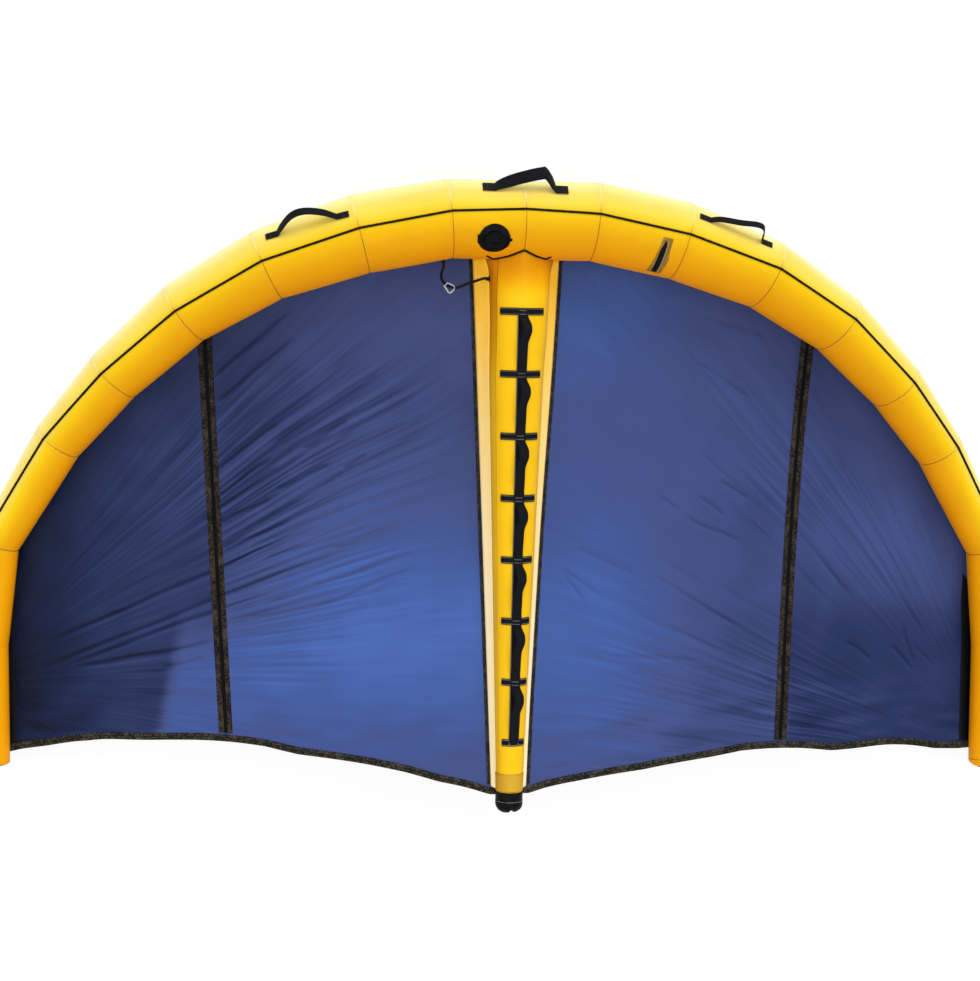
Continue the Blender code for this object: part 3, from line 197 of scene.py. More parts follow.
def rgba(code: str) -> tuple[float, float, float, float]:
    """Turn an sRGB hex value into a linear colour.

    Args:
        code: Six hex digits after a hash sign.

    Returns:
        Red, green, blue and an alpha of 1.
    """
    shares = (int(code[place:place + 2], 16) / 255 for place in (1, 3, 5))
    red, green, blue = (
        share / 12.92 if share <= 0.04045 else ((share + 0.055) / 1.055) ** 2.4 for share in shares)
    return red, green, blue, 1.0


# ---- materials ----


def add(material: bpy.types.Material, kind: str, inputs: dict | None = None, **settings) -> bpy.types.Node:
    """Add one shader node.

    Args:
        material: The material (or world) whose node tree it joins.
        kind: The node's type without its prefix.
        inputs: Socket name or number to a value, or to the output socket that feeds it.
        settings: The node's own properties; stops fills a colour ramp with (place, hex) pairs.

    Returns:
        The new node.
    """
    tree = material.node_tree
    made = tree.nodes.new("ShaderNode" + kind)
    for name, value in settings.items():
        if name == "stops":
            ramp = made.color_ramp
            while len(ramp.elements) < len(value):
                ramp.elements.new(0.5)
            for element, (place, code) in zip(ramp.elements, value):
                element.position, element.color = place, rgba(code)
        else:
            setattr(made, name, value)
    for name, value in (inputs or {}).items():
        socket = made.inputs[name]
        if isinstance(value, bpy.types.NodeSocket):
            tree.links.new(value, socket)
        else:
            socket.default_value = value
    return made


def blank(name: str) -> bpy.types.Material:
    """Make a material with an empty node tree.

    Args:
        name: The material's name.

    Returns:
        The material.
    """
    made = bpy.data.materials.new(name)
    made.use_nodes = True
    made.node_tree.nodes.clear()
    return made


@dataclass(frozen=True)
class Finish:
    """What all finishes share: a name and one surface shader, whose inputs each finish describes."""

    name: str

    def surface(self, made: bpy.types.Material) -> dict:
        """Build the nodes in front of the surface shader.

        Args:
            made: The material that they join.

        Returns:
            The surface shader's inputs.
        """
        raise NotImplementedError

    def make(self) -> bpy.types.Material:
        """Build the material.

        Returns:
            The new material.
        """
        made = blank(self.name)
        shader = add(made, "BsdfPrincipled", self.surface(made))
        add(made, "OutputMaterial", {"Surface": shader.outputs[0]})
        return made


@dataclass(frozen=True)
class SleeveCloth(Finish):
    """Polyester cloth with a polyurethane coat, woven tight and calendered: satin and faintly ribbed. Its colour is
    painted pale on the front of the tube, a painted highlight, and deeper orange towards the rear, painted shade;
    its sheen lies on the front only, where the light falls. Twin rows of stitches run beside each seam."""

    name: str = "coated_polyester_sleeve"
    # The cloth's yellow with painted light round the tube: a pale painted highlight on its front, and painted shade
    # deepening to orange towards its rear
    dye_and_painted_light: tuple = ((0.05, "#FFF6A6"), (0.20, "#F9DC69"), (0.30, "#F3D544"), (0.37, "#F2C60C"), (0.46, "#EDB600"),
                  (0.55, "#EAA900"), (0.69, "#F6A600"), (0.82, "#FFA400"), (1.0, "#F59C00"))
    # The seam lines' colour follows the painted shade: pale above the piping, where the light falls, and darker
    # below it
    seam: tuple = ((0.24, "#FFF0B0"), (0.34, "#DDA51E"), (0.5, "#B87400"))
    roughness: float = 0.5
    specular: float = 0.1
    thread_pitch: float = 2.4 * MM  # drawn about five times coarser than the real yarn, so that it shows

    def surface(self, made: bpy.types.Material) -> dict:
        """Build the nodes in front of the surface shader, and give its inputs."""
        cloth = add(made, "UVMap", uv_map=UV_NAME).outputs[0]
        shade = add(made, "Attribute", attribute_name="shade").outputs["Fac"]
        place = add(made, "TexCoord").outputs["Object"]
        drawn = add(made, "Mapping", {"Vector": cloth, "Scale": (1.6, 17.0, 1.0)}).outputs[0]
        cloud = add(made, "TexNoise", {"Vector": drawn, "Scale": 1.0, "Detail": 3.0}).outputs["Fac"]
        wander = add(made, "Math", {0: cloud, 1: 0.07, 2: -0.035}, operation="MULTIPLY_ADD").outputs[0]
        turned = add(made, "Math", {0: shade, 1: wander}, operation="ADD").outputs[0]
        # Painted light: the shade attribute, set by the turn round the tube, picks a paler colour on the front and a
        # deeper orange at the rear
        dyed_and_painted = add(made, "ValToRGB", {"Fac": turned}, stops=self.dye_and_painted_light).outputs[0]
        seam = add(made, "Attribute", attribute_name="seam").outputs["Fac"]
        rows = add(made, "ValToRGB", {"Fac": seam}, stops=[
            (0.0, "#202020"), (0.05, "#202020"), (0.09, "#FFFFFF"), (0.40, "#FFFFFF"), (0.44, "#DEDEDE"),
            (0.50, "#FFFFFF")]).outputs[0]
        rubbed = add(made, "TexNoise", {"Vector": place, "Scale": 6.0, "Detail": 5.0}).outputs["Fac"]
        faded = add(made, "ValToRGB", {"Fac": rubbed}, stops=[
            (0.0, "#F4F0E6"), (0.42, "#FCFBF8"), (0.6, "#FFFFFF")]).outputs[0]
        worn = add(made, "Mix", {"Factor": 1.0, 6: dyed_and_painted, 7: faded}, data_type="RGBA",
                   blend_type="MULTIPLY").outputs[2]
        # Painted light on the seam lines: pale on the lit front, dark in the painted shade
        line = add(made, "ValToRGB", {"Fac": shade}, stops=self.seam).outputs[0]
        colour = add(made, "Mix", {"Factor": rows, 6: line, 7: worn}, data_type="RGBA").outputs[2]
        # Sheen weight laid only on the front of the tube, where the light falls: a real sheen, placed as a painted
        # highlight
        front_sheen = add(made, "ValToRGB", {"Fac": shade}, stops=[
            (0.0, "#A0A0A0"), (0.32, "#404040"), (0.42, "#000000")]).outputs[0]
        warp, weft = (
            add(made, "TexWave", {"Vector": cloth, "Scale": WAVE_PERIOD / self.thread_pitch},
                bands_direction=direction).outputs["Fac"] for direction in "XY")
        weave = add(made, "Math", {0: warp, 1: weft}, operation="MULTIPLY").outputs[0]
        fine = add(made, "Bump", {"Height": weave, "Strength": 0.25, "Distance": 0.2 * MM}).outputs[0]
        stretch = add(made, "Mapping", {"Vector": cloth, "Scale": (9.0, 62.0, 1.0)}).outputs[0]
        gather = add(made, "TexNoise", {"Vector": stretch, "Scale": 1.0, "Detail": 2.0}).outputs["Fac"]
        near = add(made, "ValToRGB", {"Fac": seam}, stops=[
            (0.0, "#FFFFFF"), (0.45, "#606060"), (1.0, "#1C1C1C")]).outputs[0]
        pucker = add(made, "Math", {0: gather, 1: near}, operation="MULTIPLY").outputs[0]
        coarse = add(made, "Bump", {
            "Height": pucker, "Strength": 0.5, "Distance": 4.0 * MM, "Normal": fine}).outputs[0]
        groove = add(made, "Bump", {
            "Height": rows, "Strength": 0.6, "Distance": 1.0 * MM, "Normal": coarse}).outputs[0]
        return {
            "Base Color": colour, "Roughness": self.roughness, "Specular IOR Level": self.specular,
            "Sheen Weight": front_sheen, "Sheen Roughness": 0.35, "Sheen Tint": rgba("#FFF6D0"), "Normal": groove}


@dataclass(frozen=True)
class FlapCloth(Finish):
    """A single layer of uncoated yellow polyester, pale and soft. It glows faintly with its own colour: a painted
    glow that stands in for light coming through it.
    """

    name: str = "single_layer_polyester_flap"
    # The flap's yellow with painted shade: deeper at the front, next to the tube, and paler towards the tail
    dye_and_painted_light: tuple = ((0.0, "#FFC024"), (0.12, "#FFC848"), (0.3, "#FFDB86"), (0.6, "#FFE9B6"))
    roughness: float = 0.72
    through: float = 0.30  # how strongly it glows with its own colour: a painted glow that stands in for daylight coming through from below

    def surface(self, made: bpy.types.Material) -> dict:
        """Build the nodes in front of the surface shader, and give its inputs."""
        cloth = add(made, "UVMap", uv_map=UV_NAME).outputs[0]
        # The shade attribute carries the painted shade along the flap
        along = add(made, "Attribute", attribute_name="shade").outputs["Fac"]
        place = add(made, "TexCoord").outputs["Object"]
        cloud = add(made, "TexNoise", {"Vector": place, "Scale": 14.0, "Detail": 4.0}).outputs["Fac"]
        wander = add(made, "Math", {0: cloud, 1: 0.16, 2: -0.08}, operation="MULTIPLY_ADD").outputs[0]
        mixed = add(made, "Math", {0: along, 1: wander}, operation="ADD").outputs[0]
        colour = add(made, "ValToRGB", {"Fac": mixed}, stops=self.dye_and_painted_light).outputs[0]
        ripple = add(made, "Mapping", {"Vector": cloth, "Scale": (14.0, 40.0, 1.0)}).outputs[0]
        fold = add(made, "TexNoise", {"Vector": ripple, "Scale": 1.0, "Detail": 3.0}).outputs["Fac"]
        bump = add(made, "Bump", {"Height": fold, "Strength": 0.6, "Distance": 4.0 * MM}).outputs[0]
        # The emission of the flap's own colour is a painted glow
        return {
            "Base Color": colour, "Roughness": self.roughness, "Specular IOR Level": 0.15,
            "Emission Color": colour, "Emission Strength": self.through, "Normal": bump}


@dataclass(frozen=True)
class CanopyCloth(Finish):
    """Ripstop polyester, resin-finished: a crisp blue cloth with a fine grid, a silky sheen and hard little creases
    that run out from the corner where the tip and the trailing edge meet. Its colour carries painted light and
    shade: a brightness map over the cloth, and lit and shaded sides painted on the creases."""

    name: str = "ripstop_polyester_canopy"
    dye_and_painted_light: tuple = (
        (0.0, "#040811"), (0.12, "#081029"), (0.22, "#0F1C40"), (0.35, "#212E58"), (0.42, "#2E3966"),
        (0.50, "#384476"), (0.58, "#3E4B7F"), (0.66, "#3B4E8A"), (0.78, "#3D589B"), (0.90, "#4463AD"),
        (1.0, "#4969BB"))
    roughness: float = 0.46
    specular: float = 0.12
    grid_pitch: float = 9.0 * MM  # the real grid is 5 mm; drawn coarser, so that it shows
    crease_pitch: float = 26.0 * MM
    crease_stretch: float = 1.3  # how often a fine crease changes along its length, per metre

    def surface(self, made: bpy.types.Material) -> dict:
        """Build the nodes in front of the surface shader, and give its inputs."""
        cloth = add(made, "UVMap", uv_map=UV_NAME).outputs[0]
        tone = add(made, "Attribute", attribute_name="tone").outputs["Fac"]
        fan = add(made, "Attribute", attribute_name="fan").outputs["Vector"]
        place = add(made, "TexCoord").outputs["Object"]
        cloud = add(made, "TexNoise", {"Vector": place, "Scale": 2.6, "Detail": 4.0}).outputs["Fac"]
        wander = add(made, "Math", {0: cloud, 1: 0.10, 2: -0.05}, operation="MULTIPLY_ADD").outputs[0]
        # The same streaks twice, a little apart: their difference is the side of each crease that is lit, painted
        # lighter, while the other side is painted darker
        streaks = []
        for shift in (0.0, 0.2):
            moved = add(made, "Mapping", {
                "Vector": fan, "Location": (shift, 0.0, 0.0),
                "Scale": (1 / self.crease_pitch, self.crease_stretch, 1.0)}).outputs[0]
            streaks.append(add(made, "TexNoise", {
                "Vector": moved, "Scale": 1.0, "Detail": 1.5, "Roughness": 0.5}).outputs["Fac"])
        lit = add(made, "Math", {0: streaks[0], 1: streaks[1]}, operation="SUBTRACT").outputs[0]
        # Painted shade: the middle of each crease is painted darker
        valley = add(made, "ValToRGB", {"Fac": streaks[0]}, stops=[
            (0.45, "#FFFFFF"), (0.5, "#000000"), (0.55, "#FFFFFF")]).outputs[0]
        sunk = add(made, "Math", {0: valley, 1: 0.07, 2: -0.05}, operation="MULTIPLY_ADD").outputs[0]
        both = add(made, "Math", {0: lit, 1: 0.9, 2: sunk}, operation="MULTIPLY_ADD").outputs[0]
        crease = add(made, "Attribute", attribute_name="crease").outputs["Fac"]
        shadow = add(made, "Math", {0: both, 1: crease}, operation="MULTIPLY").outputs[0]
        depth = add(made, "Math", {0: streaks[0], 1: crease}, operation="MULTIPLY").outputs[0]
        # The painted light and shade from the mesh, with random patches of tone on top
        toned = add(made, "Math", {0: tone, 1: wander}, operation="ADD").outputs[0]
        final = add(made, "Math", {0: toned, 1: shadow}, operation="ADD").outputs[0]
        colour = add(made, "ValToRGB", {"Fac": final}, stops=self.dye_and_painted_light).outputs[0]
        grid = []
        for direction in "XY":
            wave = add(made, "TexWave", {"Vector": cloth, "Scale": WAVE_PERIOD / self.grid_pitch},
                       bands_direction=direction).outputs["Fac"]
            grid.append(add(made, "Math", {0: wave, 1: 12.0}, operation="POWER").outputs[0])
        ripstop = add(made, "Math", {0: grid[0], 1: grid[1]}, operation="MAXIMUM").outputs[0]
        fine = add(made, "Bump", {"Height": ripstop, "Strength": 0.18, "Distance": 0.3 * MM}).outputs[0]
        folds = add(made, "Bump", {
            "Height": depth, "Strength": 0.7, "Distance": 7.0 * MM, "Normal": fine}).outputs[0]
        crinkle = add(made, "TexNoise", {"Vector": place, "Scale": 15.0, "Detail": 3.0,
                                         "Distortion": 0.4}).outputs["Fac"]
        crinkled = add(made, "Bump", {
            "Height": crinkle, "Strength": 0.3, "Distance": 8.0 * MM, "Normal": folds}).outputs[0]
        return {
            "Base Color": colour, "Roughness": self.roughness, "Specular IOR Level": self.specular,
            "Sheen Weight": 0.03, "Sheen Roughness": 0.3, "Normal": crinkled}


@dataclass(frozen=True)
class Webbing(Finish):
    """Woven polyester webbing: a twill of thick yarns whose chevrons meet in the middle, with a dull shine."""

    name: str = "woven_webbing"
    high: str = "#12141E"
    low: str = "#030407"
    roughness: float = 0.62
    specular: float = 0.13
    rib_pitch: float = 3.4 * MM  # about twice the real yarn, so that it shows

    def surface(self, made: bpy.types.Material) -> dict:
        """Build the nodes in front of the surface shader, and give its inputs."""
        cloth = add(made, "UVMap", uv_map=UV_NAME).outputs[0]
        parts = add(made, "SeparateXYZ", {"Vector": cloth})
        across = add(made, "Math", {0: parts.outputs[0]}, operation="ABSOLUTE").outputs[0]
        slanted = add(made, "Math", {0: across, 1: 0.8, 2: parts.outputs[1]}, operation="MULTIPLY_ADD").outputs[0]
        phase = add(made, "Math", {0: slanted, 1: 2 * math.pi / self.rib_pitch}, operation="MULTIPLY").outputs[0]
        ribs = add(made, "Math", {0: phase}, operation="SINE").outputs[0]
        raised = add(made, "Math", {0: ribs, 1: 0.5, 2: 0.5}, operation="MULTIPLY_ADD").outputs[0]
        place = add(made, "TexCoord").outputs["Object"]
        wear = add(made, "TexNoise", {"Vector": place, "Scale": 60.0, "Detail": 4.0}).outputs["Fac"]
        lit = add(made, "Math", {0: raised, 1: wear}, operation="MULTIPLY").outputs[0]
        colour = add(made, "ValToRGB", {"Fac": lit}, stops=[(0.05, self.low), (0.6, self.high)]).outputs[0]
        bump = add(made, "Bump", {"Height": raised, "Strength": 0.5, "Distance": 0.6 * MM}).outputs[0]
        return {
            "Base Color": colour, "Roughness": self.roughness, "Specular IOR Level": self.specular,
            "Normal": bump}


@dataclass(frozen=True)
class BindingTape(Finish):
    """Dark reinforcing tape sewn with rows of zigzag in dull brown thread, so that its sides look grainy and
    its middle, where the cloths overlap, stays black."""

    name: str = "zigzag_sewn_tape"
    ground: str = "#15100C"
    thread: str = "#473D35"
    core: str = "#040407"
    core_half: float = 6.0 * MM
    pitch: float = 5.0 * MM
    roughness: float = 0.7
    specular: float = 0.1

    def surface(self, made: bpy.types.Material) -> dict:
        """Build the nodes in front of the surface shader, and give its inputs."""
        cloth = add(made, "UVMap", uv_map=UV_NAME).outputs[0]
        parts = add(made, "SeparateXYZ", {"Vector": cloth})
        across = add(made, "Math", {0: parts.outputs[0]}, operation="ABSOLUTE").outputs[0]
        beyond = add(made, "Math", {0: across, 1: self.core_half}, operation="GREATER_THAN").outputs[0]
        zigzag = add(made, "TexVoronoi", {"Vector": cloth, "Scale": 1 / self.pitch, "Randomness": 0.55}
                     ).outputs["Distance"]
        place = add(made, "TexCoord").outputs["Object"]
        patchy = add(made, "TexNoise", {"Vector": place, "Scale": 30.0, "Detail": 3.0}).outputs["Fac"]
        sewn = add(made, "Math", {0: zigzag, 1: patchy}, operation="MULTIPLY").outputs[0]
        pale = add(made, "ValToRGB", {"Fac": sewn}, stops=[
            (0.12, self.thread), (0.28, self.ground)]).outputs[0]
        colour = add(made, "Mix", {"Factor": beyond, 6: rgba(self.core), 7: pale}, data_type="RGBA").outputs[2]
        bump = add(made, "Bump", {"Height": zigzag, "Strength": 0.5, "Distance": 0.8 * MM}).outputs[0]
        return {
            "Base Color": colour, "Roughness": self.roughness, "Specular IOR Level": self.specular,
            "Normal": bump}


@dataclass(frozen=True)
class MouldedPlastic(Finish):
    """Injection-moulded plastic with a fine spark-eroded grain, rubbed a little smoother in places."""

    colour: str
    worn: str
    roughness: float = 0.42
    grain: float = 1.1 * MM

    def surface(self, made: bpy.types.Material) -> dict:
        """Build the nodes in front of the surface shader, and give its inputs."""
        place = add(made, "TexCoord").outputs["Object"]
        grain = add(made, "TexNoise", {"Vector": place, "Scale": 1 / self.grain, "Detail": 2.0}).outputs["Fac"]
        rubbed = add(made, "TexNoise", {"Vector": place, "Scale": 55.0, "Detail": 4.0}).outputs["Fac"]
        colour = add(made, "ValToRGB", {"Fac": rubbed}, stops=[(0.35, self.colour), (0.72, self.worn)]).outputs[0]
        rough = add(made, "Math", {0: rubbed, 1: -0.22, 2: self.roughness + 0.11},
                    operation="MULTIPLY_ADD").outputs[0]
        bump = add(made, "Bump", {"Height": grain, "Strength": 0.2, "Distance": 0.15 * MM}).outputs[0]
        return {
            "Base Color": colour, "Roughness": rough, "Specular IOR Level": 0.1, "Normal": bump}


@dataclass(frozen=True)
class ExtrudedCord(Finish):
    """Extruded cord or hose: smooth black rubber, or cloth piping drawn over a core, faintly ringed."""

    colour: str
    raised: str
    roughness: float = 0.45
    ring_pitch: float = 4.0 * MM

    def surface(self, made: bpy.types.Material) -> dict:
        """Build the nodes in front of the surface shader, and give its inputs."""
        cloth = add(made, "UVMap", uv_map=UV_NAME).outputs[0]
        rings = add(made, "TexWave", {"Vector": cloth, "Scale": WAVE_PERIOD / self.ring_pitch, "Distortion": 0.8},
                    bands_direction="Y").outputs["Fac"]
        colour = add(made, "ValToRGB", {"Fac": rings}, stops=[(0.0, self.colour), (1.0, self.raised)]).outputs[0]
        bump = add(made, "Bump", {"Height": rings, "Strength": 0.25, "Distance": 0.3 * MM}).outputs[0]
        return {
            "Base Color": colour, "Roughness": self.roughness, "Specular IOR Level": 0.15, "Normal": bump}


@dataclass(frozen=True)
class SewingThread(Finish):
    """Bonded polyester thread: two twisted plies with a low gloss."""

    colour: str
    hollow: str

    def surface(self, made: bpy.types.Material) -> dict:
        """Build the nodes in front of the surface shader, and give its inputs."""
        place = add(made, "TexCoord").outputs["Object"]
        plies = add(made, "TexNoise", {"Vector": place, "Scale": 700.0, "Detail": 1.0}).outputs["Fac"]
        colour = add(made, "ValToRGB", {"Fac": plies}, stops=[(0.3, self.hollow), (0.6, self.colour)]).outputs[0]
        return {"Base Color": colour, "Roughness": 0.55, "IOR": 1.5}


@dataclass(frozen=True)
class BladderFilm(Finish):
    """Blown polyurethane film, welded: milky and slick, with faint flow lines."""

    name: str = "blown_polyurethane_film"
    colour: str = "#D9DEE2"
    haze: str = "#C3CBD2"

    def surface(self, made: bpy.types.Material) -> dict:
        """Build the nodes in front of the surface shader, and give its inputs."""
        place = add(made, "TexCoord").outputs["Object"]
        flow = add(made, "TexNoise", {"Vector": place, "Scale": 12.0, "Detail": 3.0}).outputs["Fac"]
        colour = add(made, "ValToRGB", {"Fac": flow}, stops=[(0.35, self.haze), (0.65, self.colour)]).outputs[0]
        return {"Base Color": colour, "Roughness": 0.25, "IOR": 1.5}


@dataclass(frozen=True)
class SpringSteel(Finish):
    """Cold-drawn steel wire: bright, with fine draw marks along it."""

    name: str = "drawn_spring_steel"
    colour: str = "#B9BBBE"
    oxide: str = "#8F9194"

    def surface(self, made: bpy.types.Material) -> dict:
        """Build the nodes in front of the surface shader, and give its inputs."""
        place = add(made, "TexCoord").outputs["Object"]
        marks = add(made, "TexNoise", {"Vector": place, "Scale": 400.0, "Detail": 3.0}).outputs["Fac"]
        colour = add(made, "ValToRGB", {"Fac": marks}, stops=[(0.3, self.oxide), (0.6, self.colour)]).outputs[0]
        return {"Base Color": colour, "Metallic": 1.0, "Roughness": 0.3}


def made_of(look: Finish) -> bpy.types.Material:
    """Declare a dataclass field that holds the material of one finish.

    Args:
        look: The finish.

    Returns:
        The field, which makes the material when its dataclass is made.
    """
    return field(default_factory=look.make)


@dataclass
class Finishes:
    """All the finishes, each made once."""

    sleeve: bpy.types.Material = made_of(SleeveCloth())
    # The strut's yellow with painted shade: deeper in the tube's painted shadow and down its left side; its seam
    # lines darker in the same shade
    strut: bpy.types.Material = made_of(SleeveCloth(
        name="coated_polyester_strut", seam=((0.0, "#D89400"), (0.5, "#A86A00")),
        dye_and_painted_light=((0.0, "#FFCB12"), (0.12, "#FBC414"), (0.5, "#EDA800"), (1.0, "#D88800"))))
    # The tail patch's yellow, painted deeper towards its sides as painted shade
    patch: bpy.types.Material = made_of(SleeveCloth(
        name="doubled_polyester_patch", seam=((0.0, "#A87E12"), (1.0, "#8C6208")),
        dye_and_painted_light=((0.0, "#DDB136"), (0.5, "#D9AC30"), (1.0, "#C28C18"))))
    flap: bpy.types.Material = made_of(FlapCloth())
    canopy: bpy.types.Material = made_of(CanopyCloth())
    webbing: bpy.types.Material = made_of(Webbing())
    tape: bpy.types.Material = made_of(BindingTape())
    hem: bpy.types.Material = made_of(BindingTape(
        name="folded_hem_tape", ground="#1A1813", thread="#4C473C", core="#1A1813", core_half=1 * MM,
        pitch=7 * MM))
    facing: bpy.types.Material = made_of(BindingTape(
        name="sheer_zip_facing", ground="#96702A", thread="#A98338", core="#8A6726", core_half=11 * MM,
        pitch=6 * MM))
    piping: bpy.types.Material = made_of(ExtrudedCord("cloth_covered_piping", "#080402", "#170E07", 0.6))
    hose: bpy.types.Material = made_of(ExtrudedCord("extruded_hose", "#040406", "#0C0C0F", 0.35, 9 * MM))
    black_plastic: bpy.types.Material = made_of(MouldedPlastic("moulded_black_nylon", "#030304", "#0C0C10"))
    grey_plastic: bpy.types.Material = made_of(
        MouldedPlastic("moulded_dark_grey_nylon", "#050507", "#17171D", 0.38))
    pale_plastic: bpy.types.Material = made_of(MouldedPlastic("moulded_acetal", "#D9D6CE", "#ECEAE4", 0.36))
    cap_rubber: bpy.types.Material = made_of(
        MouldedPlastic("rubbered_end_cup", "#040405", "#101014", 0.55, 2.2 * MM))
    pale_thread: bpy.types.Material = made_of(SewingThread("pale_sewing_thread", "#DAD7CC", "#8F8C82"))
    dark_thread: bpy.types.Material = made_of(SewingThread("dark_sewing_thread", "#4A4A52", "#24242A"))
    yellow_thread: bpy.types.Material = made_of(SewingThread("yellow_sewing_thread", "#F8D868", "#E0AC30"))
    film: bpy.types.Material = made_of(BladderFilm())
    steel: bpy.types.Material = made_of(SpringSteel())


# ---- meshes ----


def alone(piece: bpy.types.Object) -> None:
    """Select one object and nothing else, and make it active."""
    bpy.ops.object.select_all(action="DESELECT")
    piece.select_set(True)
    bpy.context.view_layer.objects.active = piece


def apply_modifiers(piece: bpy.types.Object) -> None:
    """Apply all of a piece's modifiers, in order."""
    alone(piece)
    for modifier in [modifier.name for modifier in piece.modifiers]:
        bpy.ops.object.modifier_apply(modifier=modifier)


def settle(piece: bpy.types.Object, material: bpy.types.Material,
           nodes: tuple = ()) -> bpy.types.Object:
    """Finish a piece that rides on the wing itself: its material and what it stands for.

    Args:
        piece: The new object.
        material: Its finish.
        nodes: CAD nodes that it replaces.

    Returns:
        The piece.
    """
    if not piece.data.materials:
        piece.data.materials.append(material)
    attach(piece, ROOT)
    if nodes:
        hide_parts(*nodes)
    return piece


class Weaver:
    """Collects grids of points with cloth coordinates, and makes one mesh of them."""

    def __init__(self) -> None:
        """Start with nothing."""
        self.points: list[Vector] = []
        self.faces: list[tuple[int, ...]] = []
        self.corners: list[tuple[tuple[float, float], ...]] = []
        self.values: dict[str, list] = {}

    def grid(self, rows: list[list[Vector]], cloth: list[list[tuple]], around: bool = False, **values) -> None:
        """Add a grid of faces.

        Args:
            rows: Rows of points, all as long.
            cloth: Cloth coordinates of the same rows, in metres; one longer than the row where around is set.
            around: Whether each row closes on itself.
            values: Attribute name to rows of numbers, or of triples.
        """
        start, width = len(self.points), len(rows[0])
        for row in rows:
            self.points += row
        for name, table in values.items():
            self.values.setdefault(name, []).extend(value for row in table for value in row)
        for low in range(len(rows) - 1):
            for left in range(width if around else width - 1):
                right = (left + 1) % width
                first, second = start + low * width, start + (low + 1) * width
                self.faces.append((first + left, first + right, second + right, second + left))
                self.corners.append((
                    cloth[low][left], cloth[low][left + 1], cloth[low + 1][left + 1], cloth[low + 1][left]))

    def close(self, first: int, count: int) -> None:
        """Add one flat face over a ring of points that were added together."""
        self.faces.append(tuple(range(first, first + count)))
        self.corners.append(((0.0, 0.0),) * count)

    def strap(self, path: list[Vector], across: list[Vector], width: float, thickness: float,
              crown: float = 0.0, shares: list[float] | None = None) -> None:
        """Add a strap with rounded edges along a path.

        Args:
            path: The middle of its lower face.
            across: The direction of its width at each point.
            width: Its width in metres.
            thickness: Its thickness in metres.
            crown: How far its middle rises over its edges, in metres.
            shares: The share of the width that it has at each point.
        """
        if shares:
            across = [arm * share for arm, share in zip(across, shares)]
        rows, cloth, run = [], [], 0.0
        places = (-0.5, -0.47, -0.3, 0.0, 0.3, 0.47, 0.5, 0.47, 0.3, 0.0, -0.3, -0.47)
        heights = (0.5, 0.93, 1.0, 1.0, 1.0, 0.93, 0.5, 0.07, 0.0, 0.0, 0.0, 0.07)
        for index, point in enumerate(path):
            before, after = path[max(index - 1, 0)], path[min(index + 1, len(path) - 1)]
            ahead = (after - before).normalized()
            normal = ahead.cross(across[index]).normalized()
            if index:
                run += (point - path[index - 1]).length
            rows.append([
                point + across[index] * width * share
                + normal * (thickness * height + crown * (1 - 4 * share * share))
                for share, height in zip(places, heights)])
            cloth.append([(share * width, run) for share in (*places, places[0])])
        start = len(self.points)
        self.grid(rows, cloth, around=True)
        self.close(start, len(places))
        self.close(start + len(places) * (len(rows) - 1), len(places))

    def tube(self, path: list[Vector], radius: float, sides: int = 12) -> None:
        """Add a round cord with rounded ends along a path.

        Args:
            path: Its centre line.
            radius: Its radius in metres.
            sides: How many sides it has.
        """
        rows, cloth, run = [], [], 0.0
        ahead = (path[1] - path[0]).normalized()
        up = (UP - ahead * ahead.z).normalized()
        last = len(path) - 1
        for index, point in enumerate(path):
            ahead = (path[min(index + 1, last)] - path[max(index - 1, 0)]).normalized()
            up = (up - ahead * up.dot(ahead)).normalized()
            side = ahead.cross(up)
            if index:
                run += (point - path[index - 1]).length
            angles = [2 * math.pi * count / sides for count in range(sides + 1)]
            rows.append([
                point + (up * math.cos(angle) + side * math.sin(angle)) * radius for angle in angles[:-1]])
            cloth.append([(angle * radius, run) for angle in angles])
        start = len(self.points)
        self.grid(rows, cloth, around=True)
        self.close(start, sides)
        self.close(start + sides * last, sides)

    def stitches(self, line: list[Vector], normal: Vector, pitch: float = 6.5 * MM, length: float = 4.2 * MM,
                 width: float = 1.3 * MM, height: float = 0.8 * MM) -> None:
        """Add a row of sewn stitches along a line.

        Args:
            line: The points that the row follows, on the cloth.
            normal: Which way the cloth faces.
            pitch: From one stitch to the next, in metres; drawn about twice the real one, so that it shows.
            length: How long the thread lies on top, in metres.
            width: The thread's width as drawn, in metres.
            height: How far it stands proud, in metres.
        """
        for place, ahead in spaced(line, pitch):
            side = normal.cross(ahead).normalized()
            out = ahead.cross(side).normalized()
            start = len(self.points)
            self.points.append(place - ahead * length / 2)
            for reach in (-0.25, 0.25):
                centre = place + ahead * length * reach
                self.points += [
                    centre - side * width / 2, centre - out * height / 4, centre + side * width / 2,
                    centre + out * height]
            self.points.append(place + ahead * length / 2)
            for count in range(4):
                after = (count + 1) % 4
                self.faces += [
                    (start, start + 1 + after, start + 1 + count),
                    (start + 1 + count, start + 1 + after, start + 5 + after, start + 5 + count),
                    (start + 9, start + 5 + count, start + 5 + after)]
                self.corners += [((0.0, 0.0),) * 3, ((0.0, 0.0),) * 4, ((0.0, 0.0),) * 3]

